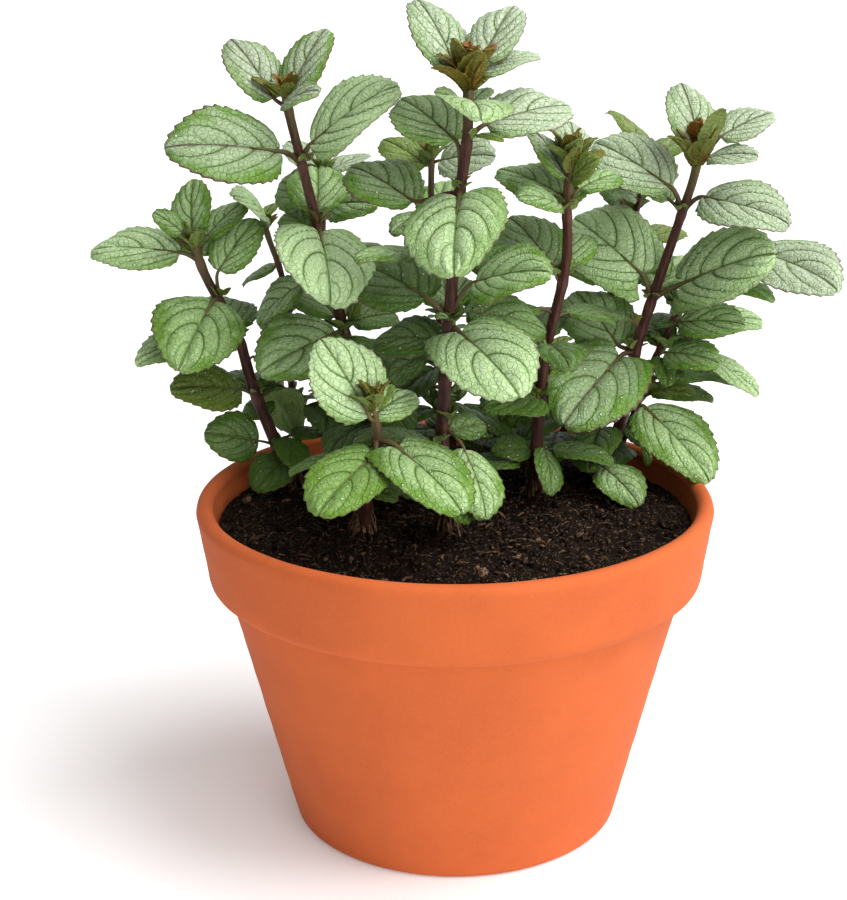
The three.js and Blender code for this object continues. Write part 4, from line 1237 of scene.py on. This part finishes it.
def leaf_material():
    """Mint leaf. The flat map's first number counts the side veins and its second runs from margin to margin,
    so the veins and the midrib follow the blade. The tone is paleness, which is partly painted sheen,
    darkness, which is painted shade, and olive. The spot is the underside, the violet and the share of the
    way from midrib to margin."""
    look = bpy.context.scene.mint_leaves
    made, graph, shader = surface("mint leaf", 0.33)
    place = graph.place()
    pale, dark, olive = graph.attribute("tone")
    under, violet, reach = graph.attribute("spot")
    blotches, specks = graph.mottle(place, 150.0, 1800.0)

    # Veins: the side veins with painted shade beside them, the midrib, the margin, and a net of small veins.
    flat = graph.node("ShaderNodeUVMap", uv_map="UVMap").outputs[0]
    flat = graph.node("ShaderNodeSeparateXYZ", {0: flat}).outputs
    line = graph.times(flat[0], MAP_VEINS)
    apart = graph.minus(graph.math("FRACT", graph.math("ADD", line, 0.5)), 0.5)
    apart = graph.math("ABSOLUTE", apart)
    off_rib = graph.times(graph.math("ABSOLUTE", graph.minus(flat[1], 0.5)), MAP_WIDTH)
    far = graph.times(graph.band(reach, 0.98, 0.7), graph.band(line, 4.4, 3.4))
    side_vein = graph.times(graph.band(apart, 0.032, 0.010), far)
    vein_shade = graph.times(graph.band(apart, 0.17, 0.0), far)
    midrib = graph.band(off_rib, 0.42, 0.12)
    margin = graph.band(reach, 0.945, 0.985)
    net = graph.node("ShaderNodeTexVoronoi", {"Vector": place, "Scale": 560.0}, feature="DISTANCE_TO_EDGE")
    net = graph.band(net.outputs["Distance"], 0.12, 0.0)

    # Painted sheen, partly the blade's own silvery tone: pale over the middle of the blade, wider on the
    # palest, weaker at the veins and the foot.
    strayed = graph.line(blotches, 0.36, graph.minus(reach, 0.18))
    middle = graph.band(strayed, 1.0, 0.45)
    wide = graph.times(graph.band(pale, 0.65, 1.1), graph.minus(1.0, middle))
    middle = graph.times(graph.math("ADD", middle, wide), graph.line(vein_shade, -0.6, 1.0))
    middle = graph.times(middle, graph.line(specks, 0.35, 0.8))
    foot = graph.line(graph.band(line, -1.4, 1.3), 0.62, 0.38)
    sheen = graph.times(graph.times(graph.line(middle, 0.97, 0.08), foot), pale, clamp=True)
    silver = graph.mix(graph.band(violet, 0.2, 0.8), look.pale, look.silver)

    # Colour of the upper face, then the underside, then the olive and rust of young leaves.
    # Painted shade: the darkness turns the green towards the deep green, and the painted sheen lies over it.
    base = graph.mix(sheen, graph.mix(dark, look.green, look.deep), silver)
    base = graph.paint(base, net, 0.12, look.deep)
    # Painted shade beside the sunk side veins.
    base = graph.paint(base, vein_shade, 0.2, look.deep)
    vein = graph.mix(graph.times(violet, graph.band(reach, 0.75, 0.1)), look.deep, look.violet)
    base = graph.paint(base, side_vein, 0.7, vein)
    base = graph.paint(base, midrib, 0.75, graph.mix(violet, look.green, look.violet))
    base = graph.paint(base, margin, graph.line(violet, 0.7, 0.2), look.violet)
    back = graph.mix(side_vein, look.underside, look.pale)
    base = graph.mix(under, base, graph.paint(back, net, 0.25, look.green))
    warm = graph.mix(graph.band(olive, 0.5, 1.0), look.olive, look.rust)
    warm = graph.paint(warm, side_vein, 0.35, look.deep)
    base = graph.mix(graph.band(olive, -0.1, 0.75), base, warm)

    # Dew: round beads on the upper face, where a grid of random points comes near the surface, with a painted
    # highlight in the middle of each.
    away = graph.node("ShaderNodeTexVoronoi", {"Vector": place, "Scale": 330.0}).outputs["Distance"]
    above = graph.minus(1.0, under)
    bead = graph.times(graph.band(away, 0.19, 0.14), above)
    glint = graph.times(graph.band(away, 0.125, 0.05), above)
    # Painted highlight: the middle of each bead takes the glint's whitish colour.
    graph.feed(graph.paint(base, glint, 0.65, look.dew), shader.inputs["Base Color"])
    gloss = graph.line(blotches, 0.12, 0.36)
    graph.feed(graph.line(bead, -0.25, gloss), shader.inputs["Roughness"])

    # Bump: specks, sunk veins of all sizes, and raised beads.
    height = graph.line(specks, 0.25, graph.times(net, -0.55))
    height = graph.minus(height, graph.times(graph.math("ADD", side_vein, midrib), 0.9))
    relief(graph, shader, graph.line(bead, 1.3, height), 0.0004)
    return made


def stem_material():
    """Stem and stalk: dark purple-brown, streaked lengthwise, greener where the spot's first number says, and
    paler at the joints, which the second gives."""
    look = bpy.context.scene.mint_stems
    made, graph, shader = surface("mint stem", 0.2)
    green, joint, _ = graph.attribute("spot")
    drawn = graph.node("ShaderNodeMapping", {"Vector": graph.place(), "Scale": (1.0, 1.0, 0.12)}).outputs[0]
    blotches, specks = graph.mottle(drawn, 260.0, 1500.0)
    base = graph.mix(blotches, look.purple, look.brown)
    base = graph.paint(base, specks, 0.25, look.light)
    base = graph.mix(green, base, look.green)
    base = graph.paint(base, joint, 0.25, look.light)
    graph.feed(base, shader.inputs["Base Color"])
    relief(graph, shader, graph.crumple(drawn, 700.0, 2500.0, 0.3), 0.0003)
    return made


def material(name):
    """The material of that name, made at its first use."""
    makers = {
        "fired clay": clay_material,
        "potting soil": soil_material,
        "mint leaf": leaf_material,
        "mint stem": stem_material,
    }
    return bpy.data.materials.get(name) or makers[name]()


def tint(label, values, what):
    return FloatVectorProperty(name=label, description=what, default=values, subtype="COLOR", size=3,
                               min=0, max=1)


class MintPotSettings(bpy.types.PropertyGroup):
    """The clay pot's colours and trueness."""

    clay: tint("Clay", (0.59, 0.119, 0.027), "Main colour of the fired clay")
    blotch: tint("Blotches", (0.53, 0.102, 0.0235), "Colour of the soft blotches")
    speck: tint("Specks", (0.62, 0.168, 0.050), "Colour of the fine specks")
    unevenness: FloatProperty(name="Unevenness", description="How far the wall strays from a true round",
                              default=0.0002, min=0, unit="LENGTH")


class MintSoilSettings(bpy.types.PropertyGroup):
    """The soil's colours and its loose bits."""

    dark: tint("Dark", (0.0032, 0.0018, 0.0012), "Colour of the damp soil")
    brown: tint("Brown", (0.013, 0.0063, 0.0034), "Colour of its drier parts")
    # The fibre colour also paints the glints on the soil.
    fibre: tint("Fibre", (0.48, 0.28, 0.16), "Colour of the bits of bark and fibre")
    crumbs: IntProperty(name="Crumbs", description="Number of loose crumbs", default=1800, min=0)
    fibres: IntProperty(name="Fibres", description="Number of bits of bark and fibre", default=2600, min=0)


class MintLeafSettings(bpy.types.PropertyGroup):
    """The leaves' build and colours."""

    thickness: FloatProperty(name="Thickness", description="Thickness of a blade", default=0.0004,
                             min=0.0001, unit="LENGTH")
    quilting: FloatProperty(name="Quilting", description="How far a large blade puffs up between its veins, "
                            "in millimetres", default=0.78, min=0)
    teeth_per_mm: FloatProperty(name="Teeth per mm", description="Teeth on one side for each millimetre of "
                                "the blade's length", default=0.36, min=0)
    tooth_depth: FloatProperty(name="Tooth depth", description="Depth of a large leaf's teeth, in "
                               "millimetres", default=0.85, min=0)
    green: tint("Green", (0.135, 0.300, 0.016), "Colour of the blade between the veins")
    # Painted shade: the deep green darkens the dark leaves and lies beside the side veins; it is also the
    # veins' own colour.
    deep: tint("Deep green", (0.036, 0.090, 0.005), "Colour of shaded leaves and of the veins")
    # Painted sheen, partly the blade's own silvery tone: the pale and silver colours over the middle of the
    # blade.
    pale: tint("Pale", (0.53, 0.72, 0.37), "Pale colour of the blade's middle")
    silver: tint("Silver", (0.50, 0.57, 0.44), "Colour of the middle of a blade with violet veins")
    olive: tint("Olive", (0.165, 0.140, 0.014), "Colour of the young leaves")
    rust: tint("Rust", (0.29, 0.115, 0.015), "Colour of the youngest leaves")
    violet: tint("Violet", (0.135, 0.052, 0.060), "Colour of the veins and edges of sunlit leaves")
    # Painted highlight on the water beads.
    dew: tint("Dew", (0.80, 0.90, 0.76), "Colour of the glint on a bead of dew")
    underside: tint("Underside", (0.27, 0.40, 0.13), "Colour of the blade's underside")


class MintStemSettings(bpy.types.PropertyGroup):
    """The stems' colours."""

    purple: tint("Purple", (0.030, 0.009, 0.008), "Main colour of the stems")
    brown: tint("Brown", (0.052, 0.018, 0.011), "Colour of the streaks")
    light: tint("Light", (0.17, 0.070, 0.050), "Colour of the ridges and joints")
    green: tint("Green", (0.20, 0.20, 0.065), "Colour of the young ends")


class MintStageSettings(bpy.types.PropertyGroup):
    """The floor and the light."""

    floor: tint("Floor", (0.86, 0.86, 0.86), "Colour of the floor")
    key: FloatProperty(name="Key light", description="Strength of the broad light above", default=2.5, min=0)
    front: FloatProperty(name="Front light", description="Strength of the broad light on the right in front",
                         default=3.0, min=0)
    back: FloatProperty(name="Back light", description="Strength of the broad light behind", default=0.9,
                        min=0)
    fill: FloatProperty(name="Surrounding light", description="Strength of the white surroundings",
                        default=0.16, min=0)
    glow: FloatProperty(name="Floor glow", description="Light that the over-lit floor adds of its own",
                        default=0.17, min=0)


class MINT_OT_pot(bpy.types.Operator):
    """Makes the clay pot."""

    bl_idname = "mint.pot"
    bl_label = "Clay Pot"

    def execute(self, context):
        make_pot(context.scene.mint_pot)
        return {"FINISHED"}


class MINT_OT_soil(bpy.types.Operator):
    """Makes the soil with its crumbs and fibres."""

    bl_idname = "mint.soil"
    bl_label = "Soil"

    def execute(self, context):
        make_soil(context.scene.mint_soil)
        return {"FINISHED"}


class MINT_OT_stems(bpy.types.Operator):
    """Grows the leafy stems."""

    bl_idname = "mint.stems"
    bl_label = "Leafy Stems"

    def execute(self, context):
        for index, name in enumerate(STEMS):
            grow_stem(name, index)
        return {"FINISHED"}


# The camera stands where the picture was taken: place in millimetres, downward tilt and roll in degrees, and
# the focal length in millimetres.
CAMERA_PLACE = (-9.59, -590.3, 309.8)
CAMERA_TILT = 17.82
CAMERA_ROLL = -0.388
CAMERA_LENS = 80.28

# Half the floor's width.
FLOOR_REACH = 9000

# The broad lights: the side that each shines from, and its spread in degrees, which softens its shadows.
LIGHTS = {
    "key": ((0.46, -0.05, 0.88), 45),
    "front": ((0.62, -0.65, 0.45), 75),
    "back": ((0.05, 0.85, 0.5), 90),
}


def make_floor(look):
    """The white floor, a little over-lit."""
    corners = np.array([[-1, -1, 0], [1, -1, 0], [1, 1, 0], [-1, 1, 0]]) * FLOOR_REACH
    mesh = mesh_of("floor", corners, np.array([[0, 1, 2, 3]]), np.zeros((0, 3), int))
    floor = bpy.data.objects.new("floor", mesh)
    bpy.context.scene.collection.objects.link(floor)
    paper, _, shader = surface("white paper", 0.1, 0.9)
    shader.inputs["Base Color"].default_value = colour(look.floor)
    shader.inputs["Emission Color"].default_value = (1, 1, 1, 1)
    shader.inputs["Emission Strength"].default_value = look.glow
    mesh.materials.append(paper)


def make_room(look):
    """White surroundings, which the camera sees in full and the object by the fill alone."""
    world = bpy.data.worlds.new("white room")
    world.use_nodes = True
    sky = world.node_tree.nodes["Background"]
    sky.inputs["Color"].default_value = (1, 1, 1, 1)
    room = Graph(world.node_tree)
    seen = room.node("ShaderNodeLightPath").outputs["Is Camera Ray"]
    room.feed(room.line(seen, 1 - look.fill, look.fill), sky.inputs["Strength"])
    bpy.context.scene.world = world


def soft_sun(name, source, spread, strength):
    """Even light from one side, which shines from the source towards the origin."""
    lamp = bpy.data.lights.new(name, "SUN")
    lamp.energy = strength
    lamp.angle = math.radians(spread)
    made = bpy.data.objects.new(name, lamp)
    bpy.context.scene.collection.objects.link(made)
    made.rotation_euler = Vector(source).to_track_quat("Z", "Y").to_euler()


def make_camera():
    """The camera: level and northward, then turned down by the tilt and round its own axis by the roll."""
    lens = bpy.data.cameras.new("camera")
    lens.lens = CAMERA_LENS
    lens.sensor_width = 36
    lens.clip_start, lens.clip_end = 0.01, 50
    camera = bpy.data.objects.new("camera", lens)
    bpy.context.scene.collection.objects.link(camera)
    camera.location = np.array(CAMERA_PLACE) * MM
    look_down = Euler((math.radians(90 - CAMERA_TILT), 0, 0)).to_matrix()
    rolled = look_down @ Euler((0, 0, math.radians(CAMERA_ROLL))).to_matrix()
    camera.rotation_euler = rolled.to_euler()
    bpy.context.scene.camera = camera


class MINT_OT_stage(bpy.types.Operator):
    """Makes the floor, the lights and the camera."""

    bl_idname = "mint.stage"
    bl_label = "Stage"

    def execute(self, context):
        look = context.scene.mint_stage
        make_floor(look)
        make_room(look)
        for name, (source, spread) in LIGHTS.items():
            soft_sun(name, source, spread, getattr(look, name))
        make_camera()
        context.scene.view_settings.view_transform = "Standard"
        return {"FINISHED"}


class MINT_PT_panel(bpy.types.Panel):
    """The plant's pieces and their settings."""

    bl_idname = "MINT_PT_panel"
    bl_label = "Potted Mint"
    bl_space_type = "VIEW_3D"
    bl_region_type = "UI"
    bl_category = "Mint"

    def draw(self, context):
        for step, group in STEPS:
            box = self.layout.box()
            box.operator(step)
            settings = getattr(context.scene, group)
            for key in settings.__annotations__:
                box.prop(settings, key)


# The steps in their order, each with its settings.
STEPS = (
    ("mint.pot", "mint_pot"),
    ("mint.soil", "mint_soil"),
    ("mint.stems", "mint_leaves"),
    ("mint.stems", "mint_stems"),
    ("mint.stage", "mint_stage"),
)

SETTINGS = {
    "mint_pot": MintPotSettings,
    "mint_soil": MintSoilSettings,
    "mint_leaves": MintLeafSettings,
    "mint_stems": MintStemSettings,
    "mint_stage": MintStageSettings,
}

CLASSES = (*SETTINGS.values(), MINT_OT_pot, MINT_OT_soil, MINT_OT_stems, MINT_OT_stage, MINT_PT_panel)


def register():
    """Registers the classes and hangs the settings on the scene."""
    for item in CLASSES:
        bpy.utils.register_class(item)
    for key, group in SETTINGS.items():
        setattr(bpy.types.Scene, key, PointerProperty(type=group))


def unregister():
    """Takes the settings and the classes away again."""
    for key in SETTINGS:
        delattr(bpy.types.Scene, key)
    for item in reversed(CLASSES):
        bpy.utils.unregister_class(item)


def main():
    """Makes the stage and every piece."""
    register()
    bpy.ops.mint.stage()
    bpy.ops.mint.pot()
    bpy.ops.mint.soil()
    bpy.ops.mint.stems()


if __name__ == "__main__":
    main()
